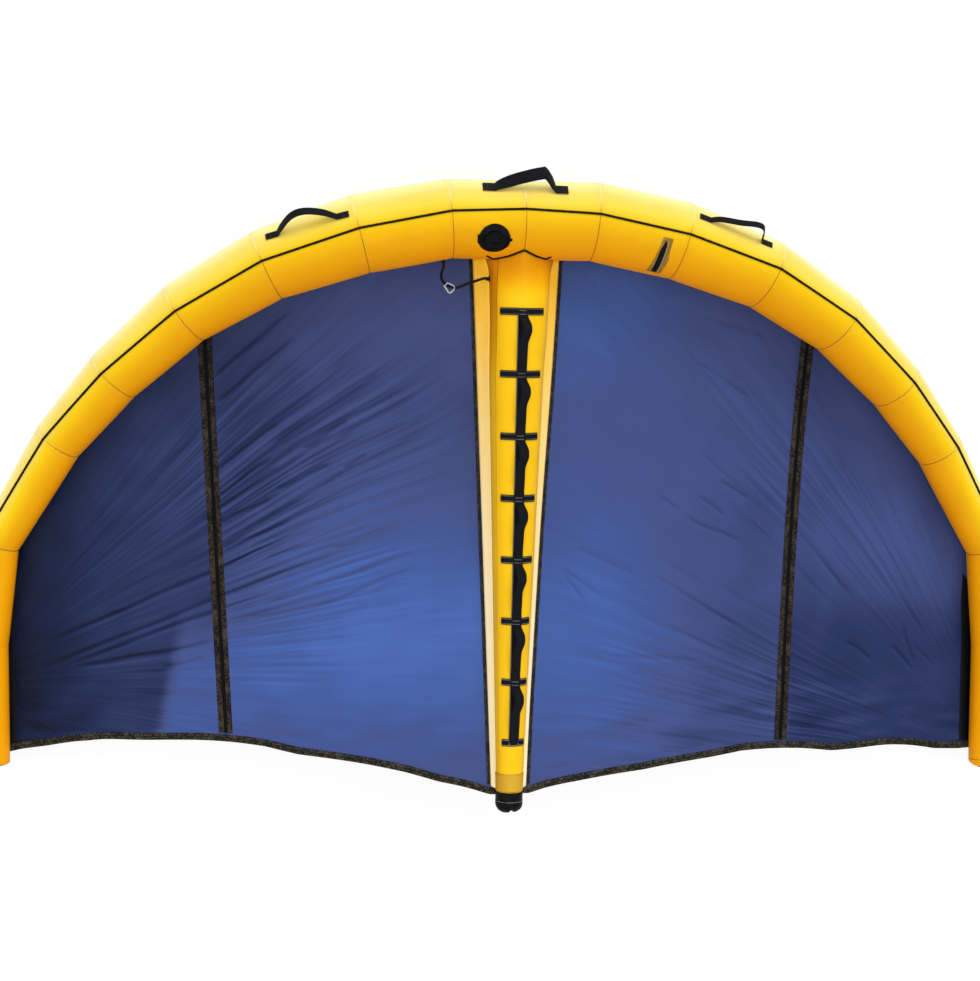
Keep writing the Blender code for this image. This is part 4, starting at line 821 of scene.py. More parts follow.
    def finish(self, name: str, upward: bool = False, outward: bool = True,
               angle: float = 50.0) -> bpy.types.Object:
        """Make the mesh and its object.

        Args:
            name: The piece's name.
            upward: Whether it is an open cloth that faces up.
            outward: Whether its faces are turned outwards.
            angle: Edges sharper than this stay sharp, in degrees.

        Returns:
            The new object.
        """
        mesh = bpy.data.meshes.new(name)
        mesh.from_pydata(self.points, [], self.faces)
        layer = mesh.uv_layers.new(name=UV_NAME)
        layer.data.foreach_set("uv", [value for face in self.corners for pair in face for value in pair])
        for key, table in self.values.items():
            if isinstance(table[0], tuple):
                kept = mesh.attributes.new(key, "FLOAT_VECTOR", "POINT")
                kept.data.foreach_set("vector", [value for triple in table for value in triple])
            else:
                kept = mesh.attributes.new(key, "FLOAT", "POINT")
                kept.data.foreach_set("value", table)
        mesh.update()
        shape = bmesh.new()
        shape.from_mesh(mesh)
        if outward:
            bmesh.ops.recalc_face_normals(shape, faces=shape.faces)
        if upward and sum(face.normal.z * face.calc_area() for face in shape.faces) < 0:
            bmesh.ops.reverse_faces(shape, faces=shape.faces)
        shape.to_mesh(mesh)
        shape.free()
        piece = bpy.data.objects.new(name, mesh)
        bpy.context.scene.collection.objects.link(piece)
        alone(piece)
        bpy.ops.object.shade_smooth_by_angle(angle=math.radians(angle))
        return piece

    def sew(self, name: str, material: bpy.types.Material, slot: str, nodes: tuple = (), thick: float = 0.0,
            offset: float = -1.0, **how) -> bpy.types.Object:
        """Make the piece, give it its thickness and settle it.

        Args:
            name: The piece's name.
            material: Its finish.
            slot: Not used.
            nodes: CAD nodes that it replaces.
            thick: An open cloth's thickness in metres; 0 leaves a closed piece as it is.
            offset: -1 grows the thickness inwards, 1 outwards.

        Returns:
            The piece.
        """
        piece = self.finish(name, **how)
        if thick:
            thicken(piece, thick, offset)
        return settle(piece, material, nodes)


def thicken(piece: bpy.types.Object, thickness: float, offset: float = -1.0) -> None:
    """Give an open cloth its thickness.

    Args:
        piece: The cloth.
        thickness: In metres.
        offset: -1 grows it inwards, 1 outwards.
    """
    wall = piece.modifiers.new("cloth", "SOLIDIFY")
    wall.thickness, wall.offset = thickness, offset
    apply_modifiers(piece)


def cut_round(piece: bpy.types.Object, centre: Vector, axis: Vector, radius: float) -> None:
    """Open a cloth where a fitting passes through it, under the fitting's flange.

    Args:
        piece: The cloth.
        centre: The fitting's place on it.
        axis: The fitting's outward direction.
        radius: Points nearer the axis than this are removed, in metres.
    """
    shape = bmesh.new()
    shape.from_mesh(piece.data)
    gone = []
    for vert in shape.verts:
        away = vert.co - centre
        if abs(away.dot(axis)) < radius and (away - axis * away.dot(axis)).length < radius:
            gone.append(vert)
    bmesh.ops.delete(shape, geom=gone, context="VERTS")
    shape.to_mesh(piece.data)
    shape.free()


# ---- forms shared by the pieces ----


@dataclass(frozen=True)
class TubeForm:
    """The leading edge's inflated form. Stations count the panel seams from the middle to the tip."""

    half_span: float = 1733 * MM
    sweep: float = 1850 * MM
    dihedral: float = 250 * MM
    radius: float = 128 * MM
    # Share of half span, sweep, dihedral and middle radius at each seam
    seams: tuple = (
        (0.000, 0.000, 0.000, 0.990), (0.137, 0.000, 0.000, 1.000), (0.304, 0.030, 0.008, 1.010),
        (0.475, 0.087, 0.084, 0.920), (0.628, 0.174, 0.288, 0.832), (0.760, 0.288, 0.532, 0.743),
        (0.867, 0.409, 0.780, 0.641), (0.982, 0.596, 0.972, 0.539), (1.000, 0.784, 1.000, 0.490),
        (0.991, 1.000, 0.820, 0.438))

    @property
    def last(self) -> int:
        """The tip's seam."""
        return len(self.seams) - 1

    def centre(self, seam: int) -> Vector:
        """The tube's centre at a seam, on the right."""
        along, back, down, _ = self.seams[seam]
        return Vector((along * self.half_span, -back * self.sweep, -down * self.dihedral))

    def seam_radius(self, seam: int) -> float:
        """The tube's radius at a seam."""
        return self.seams[seam][3] * self.radius

    def along(self, seam: int) -> tuple[Vector, Vector, float]:
        """The tube's direction at a seam, the way its mitre bends and how far that stretches it."""
        here = self.centre(seam)
        if seam == 0:
            return Vector((1, 0, 0)), Vector((0, 1, 0)), 1.0
        before = (here - self.centre(seam - 1)).normalized()
        if seam == self.last:
            return before, UP, 1.0
        after = (self.centre(seam + 1) - here).normalized()
        ahead = (before + after).normalized()
        return ahead, (after - before).normalized(), 1 / before.dot(ahead)

    def seam_point(self, seam: int, turn: float, lift: float = 0.0) -> Vector:
        """A point over the tube at a seam. Turns go from the top (0) to the front (90), in degrees."""
        ahead, bend, stretch = self.along(seam)
        up = (UP - ahead * ahead.z).normalized()
        out = up.cross(ahead)
        angle = math.radians(turn)
        arm = (up * math.cos(angle) + out * math.sin(angle)) * (self.seam_radius(seam) + lift)
        return self.centre(seam) + arm + bend * arm.dot(bend) * (stretch - 1)

    def local(self, side: Side, station: float, turn: float, lift: float = 0.0) -> Vector:
        """A point over the tube at any station, in the wing's own frame."""
        low = min(int(station), self.last - 1)
        point = self.seam_point(low, turn, lift).lerp(self.seam_point(low + 1, turn, lift), station - low)
        return Vector((side.value * point.x, point.y, point.z))

    def point(self, side: Side, station: float, turn: float, lift: float = 0.0) -> Vector:
        """A point over the tube at any station, in the model's frame."""
        return self.local(side, station, turn, lift) + STAND

    def normal(self, side: Side, station: float, turn: float) -> Vector:
        """The outward direction at a place on the tube."""
        return (self.point(side, station, turn, 10 * MM) - self.point(side, station, turn)).normalized()

    def station_at(self, across: float, turn: float) -> float:
        """The station in the first panel that lies at a distance from the middle."""
        return across / self.seam_point(1, turn).x


@dataclass(frozen=True)
class StrutForm:
    """The strut's inflated form: a tapering round tube under a level top line."""

    length: float = 1887 * MM
    top: float = 82 * MM
    front_radius: float = 106 * MM
    tail_radius: float = 43.5 * MM
    saddle: float = 20 * MM
    facet: float = math.cos(math.pi / 24)
    flap_share: float = 1.42
    crest: float = 15 * MM
    lean: float = -6 * MM
    nip: float = 9 * MM
    skin_gap: float = 0.3 * MM

    def radius(self, back: float) -> float:
        """The strut's radius at a distance behind the leading edge's centre."""
        return self.front_radius + (self.tail_radius - self.front_radius) * back / self.length

    def height(self, back: float) -> float:
        """The height of the strut's centre."""
        return self.top - self.radius(back) * self.facet

    def gusset(self, back: float, turn: float) -> float:
        """How far the gusset in front pulls the strut's cloth out of round: a crest, flared sides."""
        turn = abs(turn - 360 if turn > 180 else turn)
        shoulder = -self.crest * math.sin(math.pi * min(turn / 66, 1.0)) * (1 - step(0.11, 0.27, back))
        return shoulder + self.crest * step(60, 92, turn) * step(150, 110, turn) * (1 - step(0.10, 0.18, back))

    def sway(self, back: float) -> float:
        """How far the inflated strut leans out of the middle: a little to the left behind its front."""
        return float(self.lean * step(0.30, 0.55, back))

    def point(self, back: float, turn: float, lift: float = 0.0) -> Vector:
        """A point over the strut. Turns go from the top (0) to the right (90), in degrees."""
        reach, angle = self.radius(back) + self.gusset(back, turn) + lift, math.radians(turn)
        return STAND + Vector((
            reach * math.sin(angle) + self.sway(back), -back, self.height(back) + reach * math.cos(angle)))

    def keel(self, back: float) -> float:
        """The height of the canopy's upper face under the strut."""
        start = self.top - 2 * self.radius(self.saddle) * self.facet - self.skin_gap
        end = self.top - 2 * self.tail_radius * self.facet - self.skin_gap
        return start + (end - start) * (back - self.saddle) / (self.length - self.saddle)

    def foot(self, back: float, side: Side = Side.LEFT) -> float:
        """How far from the middle a flap meets the canopy; the right one is sewn a little further in."""
        nip = self.nip * step(0.3, 1.1, back) * step(2.4, 1.5, back) if side is Side.RIGHT else 0.0
        return float(self.flap_share * self.radius(back) + 1 * MM - nip)


@dataclass(frozen=True)
class CanopyForm:
    """The canopy's billowed form, from the tube's underside to the trailing edge."""

    tube: TubeForm = TubeForm()
    strut: StrutForm = StrutForm()
    stations: tuple = (0.63, 1, 2, 3, 4, 5, 6, 7)
    chords: tuple = (0.0, 0.05, 0.14, 0.28, 0.46, 0.65, 0.83, 1.0)
    edge: tuple = ((0.036, 0.0), (0.120, 0.27), (0.278, 0.64), (0.432, 0.87), (0.550, 0.99), (0.690, 0.96),
                   (0.820, 0.86), (0.964, 0.52))
    fills: tuple = (0.0, 0.30, 0.75, 1.0, 1.0, 0.8, 0.45, 0.0)
    turn: float = -172.5
    rise: float = 150 * MM
    overhang: float = 5 * MM
    billow: float = 75 * MM
    billow_power: float = 0.7
    drop_power: float = 1.3
    seam_column: int = 4
    knee_row: int = 4
    tip_slope: float = 0.11
    # The wrinkles leave this place (distance from the middle, distance behind the tube) and flatten inboard
    focus: dict = per_side((1.82, 1.59), (1.86, 1.92))
    bend: float = 0.02
    wrinkle_seeds: dict = per_side(3.7, 11.3)
    wrinkle_shares: dict = per_side(1.0, 0.62)
    fold_seeds: dict = per_side(5, 8)
    fold_counts: dict = per_side(62, 34)
    fold_depths: dict = per_side(3.6 * MM, 2.0 * MM)
    fold_half: float = 7.5 * MM
    fold_wander: float = 9 * MM
    fold_wander_seed: int = 40
    # Where the longest folds start and end: across and behind, across and behind, in millimetres
    long_folds: dict = per_side(
        (
            (1602, 1543, 298, 997), (1503, 1523, 283, 1054), (838, 1302, 283, 1090), (674, 1313, 283, 1144),
            (1582, 1463, 483, 948), (843, 1155, 429, 1013), (974, 1128, 724, 1008), (980, 986, 767, 828),
            (985, 948, 789, 795), (1002, 861, 756, 675), (980, 1035, 789, 937), (789, 915, 593, 817),
            (702, 779, 538, 675), (565, 839, 478, 784), (1000, 549, 722, 301), (990, 631, 710, 385),
            (1464, 1523, 941, 1418), (1161, 1513, 1010, 1479)),
        (
            (215, 1088, 444, 1189), (472, 1178, 837, 1385), (166, 1156, 313, 1254), (172, 1173, 259, 1282),
            (423, 1309, 766, 1462), (335, 1451, 701, 1483), (603, 987, 810, 1080), (646, 916, 755, 990),
            (723, 867, 837, 933), (510, 922, 581, 965), (638, 304, 904, 390), (638, 467, 844, 595),
            (1199, 1432, 1307, 1499), (1374, 1448, 1457, 1539), (1418, 1388, 1460, 1516)))
    # The cloth sits a little differently on each side: how far its rear edge is pulled forwards, in
    # millimetres, at these distances from the middle, and how far its seam is drawn in, front and rear
    pull_places: tuple = (0.11, 0.23, 0.34, 0.46, 0.70, 0.81, 1.04, 1.15, 1.27, 1.41, 1.54, 1.63, 1.70)
    pulls: dict = per_side(
        (3, -3, 3, 3, 0, 12, 16, 16, 16, 19, 34, 50, 56),
        (6, -4, -11, -20, -19, -14, -26, -36, -27, -13, 4, 30, 56))
    seam_shifts: dict = per_side((34, 10), (36, -2))

    def under_tube(self, station: float) -> Vector:
        """Where the canopy leaves the tube, on the right."""
        return self.tube.local(Side.RIGHT, station, self.turn, 0.3 * MM)

    def trailing(self, share_along: float, share_rise: float) -> Vector:
        """A point of the trailing edge, on the right."""
        across = share_along * self.tube.half_span
        tip, start = self.under_tube(self.tube.last), self.strut.keel(self.strut.length)
        drop = (tip.z - start) * (across / tip.x) ** self.drop_power
        return Vector((across, share_rise * self.rise - self.strut.length - self.overhang, start + drop))

    def control(self) -> np.ndarray:
        """The fixed points of the right half, as columns of rows of coordinates."""
        table = np.zeros((len(self.stations), len(self.chords), 3))
        last = len(self.stations) - 1
        for column, station in enumerate(self.stations):
            start = self.under_tube(station)
            for row, share in enumerate(self.chords):
                point = start.lerp(self.trailing(*self.edge[column]), share)
                if column == last:
                    knee, end = self.under_tube(self.tube.last - 1), self.under_tube(self.tube.last)
                    knee_share = self.chords[self.knee_row]
                    if share < knee_share:
                        point = start.lerp(knee, share / knee_share)
                    else:
                        point = knee.lerp(end, (share - knee_share) / (1 - knee_share))
                elif column == 0:
                    point = Vector((self.strut.foot(-point.y), point.y, self.strut.keel(-point.y)))
                fill = self.fills[column] * math.sin(math.pi * share ** self.billow_power)
                table[column, row] = (point.x, point.y, point.z - self.billow * fill)
        return table

    def surface(self, side: Side, columns: np.ndarray, rows: np.ndarray) -> np.ndarray:
        """The smooth surface of one half, as if it lay on the right.

        Args:
            side: Which half.
            columns: Places across, counted in columns, for each row.
            rows: Places along, as shares of the chord.

        Returns:
            Points as an array of rows by columns by coordinates, in the wing's own frame.
        """
        table, chords = self.control(), self.chords
        last, final = len(self.stations) - 1, len(chords) - 1
        lines = np.zeros((last + 1, len(rows), 3))
        for place, share in enumerate(rows):
            low = min(max(index for index, chord in enumerate(chords) if chord <= share), final - 1)
            span = chords[low + 1] - chords[low]
            four = [table[:, min(max(low + offset, 0), final)] for offset in (-1, 0, 1, 2)]
            gaps = (chords[low] - chords[max(low - 1, 0)], span, chords[min(low + 2, final)] - chords[low + 1])
            lines[:, place] = hermite(*four, (share - chords[low]) / span, gaps)
        # The seam lies a little further in than in the solids, and slides along the cloth to get there
        seam = self.seam_column
        spacing = (lines[seam + 1, :, 0] - lines[seam - 1, :, 0]) / 2
        start, end = self.seam_shifts[side]
        shift = (start + (end - start) * rows) * MM / spacing
        columns = columns - step(0, 1, 1 - np.abs(columns - seam)) * shift[:, None]
        low = np.minimum(columns.astype(int), last - 1)
        places = np.arange(len(rows))[:, None]
        four = [lines[np.clip(low + offset, 0, last), places] for offset in (-1, 0, 1, 2)]
        gaps = ((low > 0)[..., None] * 1.0, 1.0, (low + 2 <= last)[..., None] * 1.0)
        share = (columns - low)[..., None]
        smooth = hermite(*four, share, gaps)
        straight = four[1] + (four[2] - four[1]) * share
        found = straight + (smooth - straight) * np.clip(rows / chords[2], 0, 1)[:, None, None]
        pull = np.interp(found[..., 0], self.pull_places, self.pulls[side]) * MM * (rows ** 3)[:, None]
        found[..., 1] += pull
        found[..., 2] -= pull * self.tip_slope * np.clip(columns - (last - 1), 0, 1)
        return found

    def folds(self, side: Side, angle: np.ndarray, distance: np.ndarray) -> np.ndarray:
        """Short chance folds that run out from the tip's corner.

        Args:
            side: Which half.
            angle: Directions from the fan's focus, in radians.
            distance: Distances from it, in metres.

        Returns:
            Heights in metres.
        """
        chance = np.random.default_rng(self.fold_seeds[side])
        height = np.zeros_like(angle)
        for _ in range(self.fold_counts[side]):
            middle = math.radians(chance.uniform(0, 56))
            start, length = chance.uniform(0.45, 1.5), chance.uniform(0.12, 0.55)
            width, depth = chance.uniform(6, 11) * MM, chance.uniform(1.0, 3.2) * MM
            bend, drift = chance.uniform(-0.05, 0.05), chance.uniform(-0.03, 0.03)
            along = (distance - start) / length
            offset = (angle - middle - bend * (along - 0.5) ** 2 - drift * along) * distance
            window = step(0.0, 0.35, along) * step(1.0, 0.5, along)
            height -= depth * window * np.exp(-((offset / width) ** 2))
        return height

    def valleys(self, side: Side, across: np.ndarray, back: np.ndarray) -> np.ndarray:
        """The longest folds, each a crisp valley that wanders a little off a straight line.

        Args:
            side: Which half.
            across: Distances from the middle, in metres.
            back: Distances behind the tube's middle, in metres.

        Returns:
            Heights in metres.
        """
        height = np.zeros_like(across)
        for seed, ends in enumerate(self.long_folds[side]):
            first, last = np.array(ends[:2]) * MM, np.array(ends[2:]) * MM
            run = last - first
            length = float(np.hypot(*run))
            along = ((across - first[0]) * run[0] + (back - first[1]) * run[1]) / length ** 2
            offset = ((across - first[0]) * run[1] - (back - first[1]) * run[0]) / length
            wander = noise_over(along * (1 + 3 * length), along * 0, self.fold_wander_seed + seed)
            offset = offset + self.fold_wander * wander
            window = step(0.0, 0.12, along) * step(1.0, 0.78, along)
            height -= self.fold_depths[side] * window * np.exp(-((offset / self.fold_half) ** 2))
        return height

    def relief(self, side: Side, found: np.ndarray, columns: np.ndarray, rows: np.ndarray) -> tuple:
        """The cloth's wrinkles.

        Args:
            side: Which half.
            found: The smooth surface's points.
            columns: Places across, counted in columns, for each row.
            rows: Places along, as shares of the chord.

        Returns:
            Heights in metres, the fan's coordinates and the strength of its fine creases, as arrays.
        """
        seed = self.wrinkle_seeds[side]
        across, back = found[..., 0], -found[..., 1]
        reach, rise = self.focus[side][0] - across, self.focus[side][1] - back
        distance = np.hypot(reach, rise)
        angle = np.arctan2(rise, reach) + self.bend * distance
        angle = angle + 0.022 * noise_over(across * 1.7, back * 1.7, seed)
        patch = 0.62 + 1.3 * noise_over(across * 2.3, back * 2.3, seed + 9)
        strength = np.clip(patch, 0.12, 1.0) * self.wrinkle_shares[side]
        strength *= (0.25 + 0.75 * step(0.10, 0.55, across)) * (0.55 + 0.45 * step(0.3, 0.8, back))
        strength *= 0.3 + 0.7 * step(0.40, 0.95, distance)
        broad = noise_over(angle * 13, distance * 0.9, seed)
        height = 4.0 * MM * broad * strength + self.folds(side, angle, distance) * (0.35 + 0.65 * strength)
        height = height + self.valleys(side, np.abs(across), back)
        hem = step(0.78, 0.93, rows)[:, None]
        ripple = noise_over(across * 7, back * 24, seed + 2)
        crumple = noise_over(across * 9, back * 9, seed + 5)
        height = height * (1 - 0.5 * hem) + 2.6 * MM * ripple * hem + 1.2 * MM * crumple
        seam = np.exp(-(((columns - self.seam_column) / 0.08) ** 2))
        last = len(self.stations) - 1
        rim = (step(0, 0.05, rows) * step(1.0, 0.985, rows))[:, None]
        rim = rim * step(0, 0.3, columns) * step(last, last - 0.25, columns)
        fan = np.stack([angle * 1.1, distance, distance * 0], axis=-1)
        return height * rim * (1 - 0.6 * seam), fan, strength

    def tone(self, side: Side, across: np.ndarray, back: np.ndarray) -> np.ndarray:
        """How bright the cloth is painted: painted light in the middle, where light comes through, and painted shade
        towards the tips, deepest on the left outer cloth.

        Args:
            side: Which half.
            across: Distances from the middle.
            back: Distances behind the leading edge's centre.

        Returns:
            Places on the cloth's colour ramp.
        """
        steps = (0.27, 0.60, 0.93, 1.26, 1.42, 1.585, 1.72, 1.85)
        if side is Side.LEFT:
            near = np.interp(back, steps, (0.57, 0.47, 0.58, 0.84, 0.86, 0.79, 0.67, 0.60))
            far = np.interp(back, steps, (0.43, 0.36, 0.38, 0.47, 0.70, 0.76, 0.66, 0.60))
            inner = near + (far - near) * step(0.45, 1.0, across)
            # Painted shadow of the tip tube: beyond its sharp edge the left outer cloth is painted brighter towards
            # the rear
            lit = step(1.26, 1.52, back) * step(0.035, -0.035, across - 1.10 - 0.18 * (back - 1.39))
            outer = np.interp(across, (1.0, 1.25, 1.4, 1.55, 1.7), (0.38, 0.36, 0.28, 0.18, 0.08))
            outer += (0.70 - outer) * lit
        else:
            near = np.interp(back, steps, (0.76, 0.60, 0.63, 0.77, 0.78, 0.75, 0.66, 0.58))
            far = np.interp(back, steps, (0.54, 0.54, 0.50, 0.47, 0.45, 0.45, 0.46, 0.45))
            inner = near + (far - near) * step(0.25, 0.85, across)
            upper = np.interp(across, (1.0, 1.3, 1.6), (0.46, 0.52, 0.58))
            outer = upper + (0.35 - upper) * step(1.12, 1.45, back)
        return inner + (outer - inner) * step(0.96, 1.0, across)


# ---- sub-assemblies ----


@dataclass
class LeadingEdge:
    """The inflated front tube: sixteen sewn sleeve panels over a bladder, tip caps and piping."""

    finishes: Finishes
    form: TubeForm = TubeForm()
    panel_ends: tuple = ((0, 1), (1, 2), (2, 3), (3, 4), (4, 5), (5, 6), (6, 7), (7, 9))
    sides: int = 96
    rings: int = 18
    wall: float = 1.0 * MM
    swell: float = 0.5 * MM
    pinch: float = 1.1 * MM
    pinch_reach: float = 14 * MM
    stitch_gap: float = 8.5 * MM
    valve_hole: float = 38 * MM
    film_hole: float = 34 * MM
    film_gap: float = 2.2 * MM
    film_tip_gap: float = 3.4 * MM
    film_end: float = 8.95
    film_pitch: float = 0.2
    seam_fade: float = 20 * MM
    piping_turns: dict = per_side(
        (16, 11, 9, 10, 13, 21, 31, 44, 52, 58), (16, 11, 10, 14, 20, 26, 33, 44, 52, 58))
    piping_radius: float = 4 * MM
    # The left tip sits shorter in its sleeve than the right one
    tip_stations: dict = per_side(8.965, 9.0)
    tip_lengths: dict = per_side(14 * MM, 30 * MM)
    tip_patch: float = 6 * MM
    cap_shares: tuple = ((0.0, 1.0), (0.15, 0.985), (0.35, 0.94), (0.5, 0.86), (0.65, 0.76), (0.78, 0.62),
                         (0.88, 0.46), (0.95, 0.3), (1.0, 0.14))
    valve_place: Vector = field(default_factory=lambda: Vector((-0.101, 0.833083, 0.422812)))
    valve_axis: Vector = field(default_factory=lambda: Vector((0.005475, -0.499993, 0.866012)))

    def build(self) -> None:
        """Build and dress every piece."""
        for side in Side:
            for number, ends in enumerate(self.panel_ends, 1):
                self.panel(side, number, *ends)
            self.tip_cap(side)
            self.piping(side)
        self.bladder()
        self.junction_piping()
        self.seam_stitches()

    def rows(self, side: Side, start: int, end: int, lift: float) -> tuple:
        """Rings of one panel, with their cloth coordinates, shade and distance from the seams."""
        rows, cloth, shade, seam, run = [], [], [], [], 0.0
        spans = [(self.form.centre(low + 1) - self.form.centre(low)).length for low in range(start, end)]
        whole = sum(spans)
        turns = circle(self.sides)
        for low, span in zip(range(start, end), spans):
            for count in range(self.rings + (low == end - 1)):
                share = 0.5 - 0.5 * math.cos(math.pi * count / self.rings)
                here = run + share * span
                nearest = min(here, whole - here)
                out = lift + self.swell * math.sin(math.pi * here / whole)
                out -= self.pinch * math.exp(-nearest / self.pinch_reach)
                station = min(low + share, self.tip_stations[side] - 0.001 * (1 - share))
                rows.append([self.form.point(side, station, turn, out) for turn in turns[:-1]])
                radius = self.form.seam_radius(low)
                cloth.append([(here, math.radians(turn) * radius) for turn in turns])
                shade.append([self.shade(turn) for turn in turns[:-1]])
                seam.append([min(nearest / self.seam_fade, 1.0)] * self.sides)
            run += span
        return rows, cloth, shade, seam

    def shade(self, turn: float) -> float:
        """How deep the painted shade is round the tube, as a place on its colour ramp: a painted highlight on the
        front, painted shade deepest towards the canopy.
        """
        turn = turn - 360 if turn > 180 else turn
        if turn < -100:
            return 1.0 - 0.5 * float(step(-100, -180, turn))
        return max((80 - turn) / 180, 0.0) + 0.5 * float(step(100, 180, turn))

    def panel(self, side: Side, number: int, start: int, end: int) -> None:
        """One sleeve panel, open under the valve."""
        weaver = Weaver()
        rows, cloth, shade, seam = self.rows(side, start, end, 0.0)
        weaver.grid(rows, cloth, around=True, shade=shade, seam=seam)
        name = f"leading_edge_panel_{side.word}_{number}"
        piece = weaver.finish(f"sleeve_{side.word}_{number}")
        if side is Side.LEFT and number == 1:
            cut_round(piece, self.valve_place, self.valve_axis, self.valve_hole)
        thicken(piece, self.wall)
        settle(piece, self.finishes.sleeve, (name,))
        LOG.info("%s: panel %d", side.word, number)

    def tip_cap(self, side: Side) -> None:
        """The rounded cloth cap that closes a tip, with a black patch on its very end."""
        weaver = Weaver()
        last, length = self.tip_stations[side], self.tip_lengths[side]
        ahead = self.form.along(self.form.last)[0]
        ahead = Vector((side.value * ahead.x, ahead.y, ahead.z))
        turns = circle(self.sides)
        ring = [self.form.point(side, last, turn, -self.pinch * 0.3) for turn in turns[:-1]]
        centre = sum(ring, Vector()) / self.sides
        rows, cloth = [], []
        for reach, width in self.cap_shares:
            start = centre + ahead * (0.3 * MM + reach * length)
            rows.append([start + (point - centre) * width for point in ring])
            cloth.append([(reach * length, math.radians(turn) * 0.056) for turn in turns])
        shade = [[self.shade(turn) for turn in turns[:-1]] for _ in rows]
        weaver.grid(rows, cloth, around=True, shade=shade, seam=[[1.0] * self.sides for _ in rows])
        weaver.close(self.sides * (len(rows) - 1), self.sides)
        piece = weaver.finish(f"tip_cap_cloth_{side.word}", angle=70)
        piece.data.materials.append(self.finishes.sleeve)
        piece.data.materials.append(self.finishes.tape)
        for face in piece.data.polygons:
            if (face.center - centre).dot(ahead) > length - self.tip_patch:
                face.material_index = 1
        thicken(piece, self.wall)
        settle(piece, self.finishes.sleeve, (f"tip_cap_{side.word}",))

    def piping(self, side: Side) -> None:
        """The black piping along the sleeve's long seam."""
        points = []
        for station in range(self.form.last + 1):
            steps = 1 if station == self.form.last else 8
            for count in range(steps):
                share = count / steps
                turns = self.piping_turns[side]
                after = turns[min(station + 1, self.form.last)]
                turn = turns[station] * (1 - share) + after * share
                place = min(station + share, self.tip_stations[side])
                points.append(self.form.point(side, place, turn, self.piping_radius * 0.6))
        points[0] += Vector((side.value * 0.4 * MM, 0, 0))
        weaver = Weaver()
        weaver.tube(points, self.piping_radius)
        weaver.sew(f"seam_piping_{side.word}", self.finishes.piping, "black_trim",
                   (f"leading_edge_piping_{side.word}",))

    def seam_stitches(self) -> None:
        """Two rows of yellow stitches beside each panel seam, over the upper half of the tube."""
        weaver = Weaver()
        for side in Side:
            for seam in range(0, 8):
                for offset in (-self.stitch_gap, self.stitch_gap):
                    if seam == 0 and (offset < 0) != (side is Side.LEFT):
                        continue
                    low = seam if offset > 0 or seam == 0 else seam - 1
                    span = (self.form.centre(low + 1) - self.form.centre(low)).length
                    station = seam + abs(offset) / span if low == seam else seam - abs(offset) / span
                    line = [self.form.point(side, station, turn, -0.35 * MM) for turn in range(-100, 96, 3)]
                    middle = self.form.point(side, station, 0, -200 * MM)
                    for start, end in zip(line, line[1:]):
                        weaver.stitches([start, end], (start - middle).normalized(), 6.6 * MM, 4.4 * MM,
                                        1.1 * MM, 0.7 * MM)
        weaver.sew("sleeve_seam_stitches", self.finishes.yellow_thread, "yellow_sleeve", outward=False)

    def bladder(self) -> None:
        """The one long bladder inside the sleeve."""
        weaver = Weaver()
        rows, cloth = [], []
        count, last, run = 48, self.form.last, 0.0
        stations = [(Side.LEFT, number / 2) for number in range(2 * last, 0, -1)]
        stations += [(Side.RIGHT, number / 2) for number in range(2 * last + 1)]
        turns = circle(count)
        for side, station in stations:
            depth = self.film_gap if station < last else self.film_tip_gap
            inset = min(station, self.film_end)
            ring = [self.form.point(side, inset, turn, -depth) for turn in turns[:-1]]
            rows.append(ring)
            run += self.film_pitch
            cloth.append([(run, turn / 360) for turn in turns])
        weaver.grid(rows, cloth, around=True)
        weaver.close(0, count)
        weaver.close(count * (len(rows) - 1), count)
        piece = weaver.finish("leading_edge_film", angle=80)
        cut_round(piece, self.valve_place, self.valve_axis, self.film_hole)
        thicken(piece, FILM_WALL)
        settle(piece, self.finishes.film, ("leading_edge_bladder",))

    def junction_piping(self) -> None:
        """The cord in the seam where the strut meets the tube, peaked in the middle like the sewn gusset."""
        strut, radius = StrutForm(), 3.4 * MM
        lift = radius * 0.5
        tube = self.form.seam_radius(0) + lift
        points = []
        for turn in np.linspace(-66, 54, 61).tolist():
            around, back = math.radians(turn), self.form.radius
            for _ in range(5):
                reach = strut.radius(back) + strut.gusset(back, turn) + lift
                height = strut.height(back) + reach * math.cos(around)
                back = math.sqrt(max(tube * tube - height * height, 0))
            points.append(Vector((reach * math.sin(around), -back - 0.4 * MM, height)))
        # Beyond its knees the cord turns forwards again, on the tube
        for end, out, ahead in ((0, -23 * MM, 10 * MM), (-1, 14 * MM, 7 * MM)):
            knee, arm = points[end], []
            for share in (0.2, 0.4, 0.6, 0.8, 1.0):
                back = -knee.y - ahead * share
                arm.append(Vector((knee.x + out * share, -back, math.sqrt(tube * tube - back * back))))
            points = [*points, *arm] if end else [*reversed(arm), *points]
        weaver = Weaver()
        weaver.tube([STAND + point for point in points], radius)
        weaver.sew("strut_seam_piping", self.finishes.piping, "black_trim", ("junction_piping",))


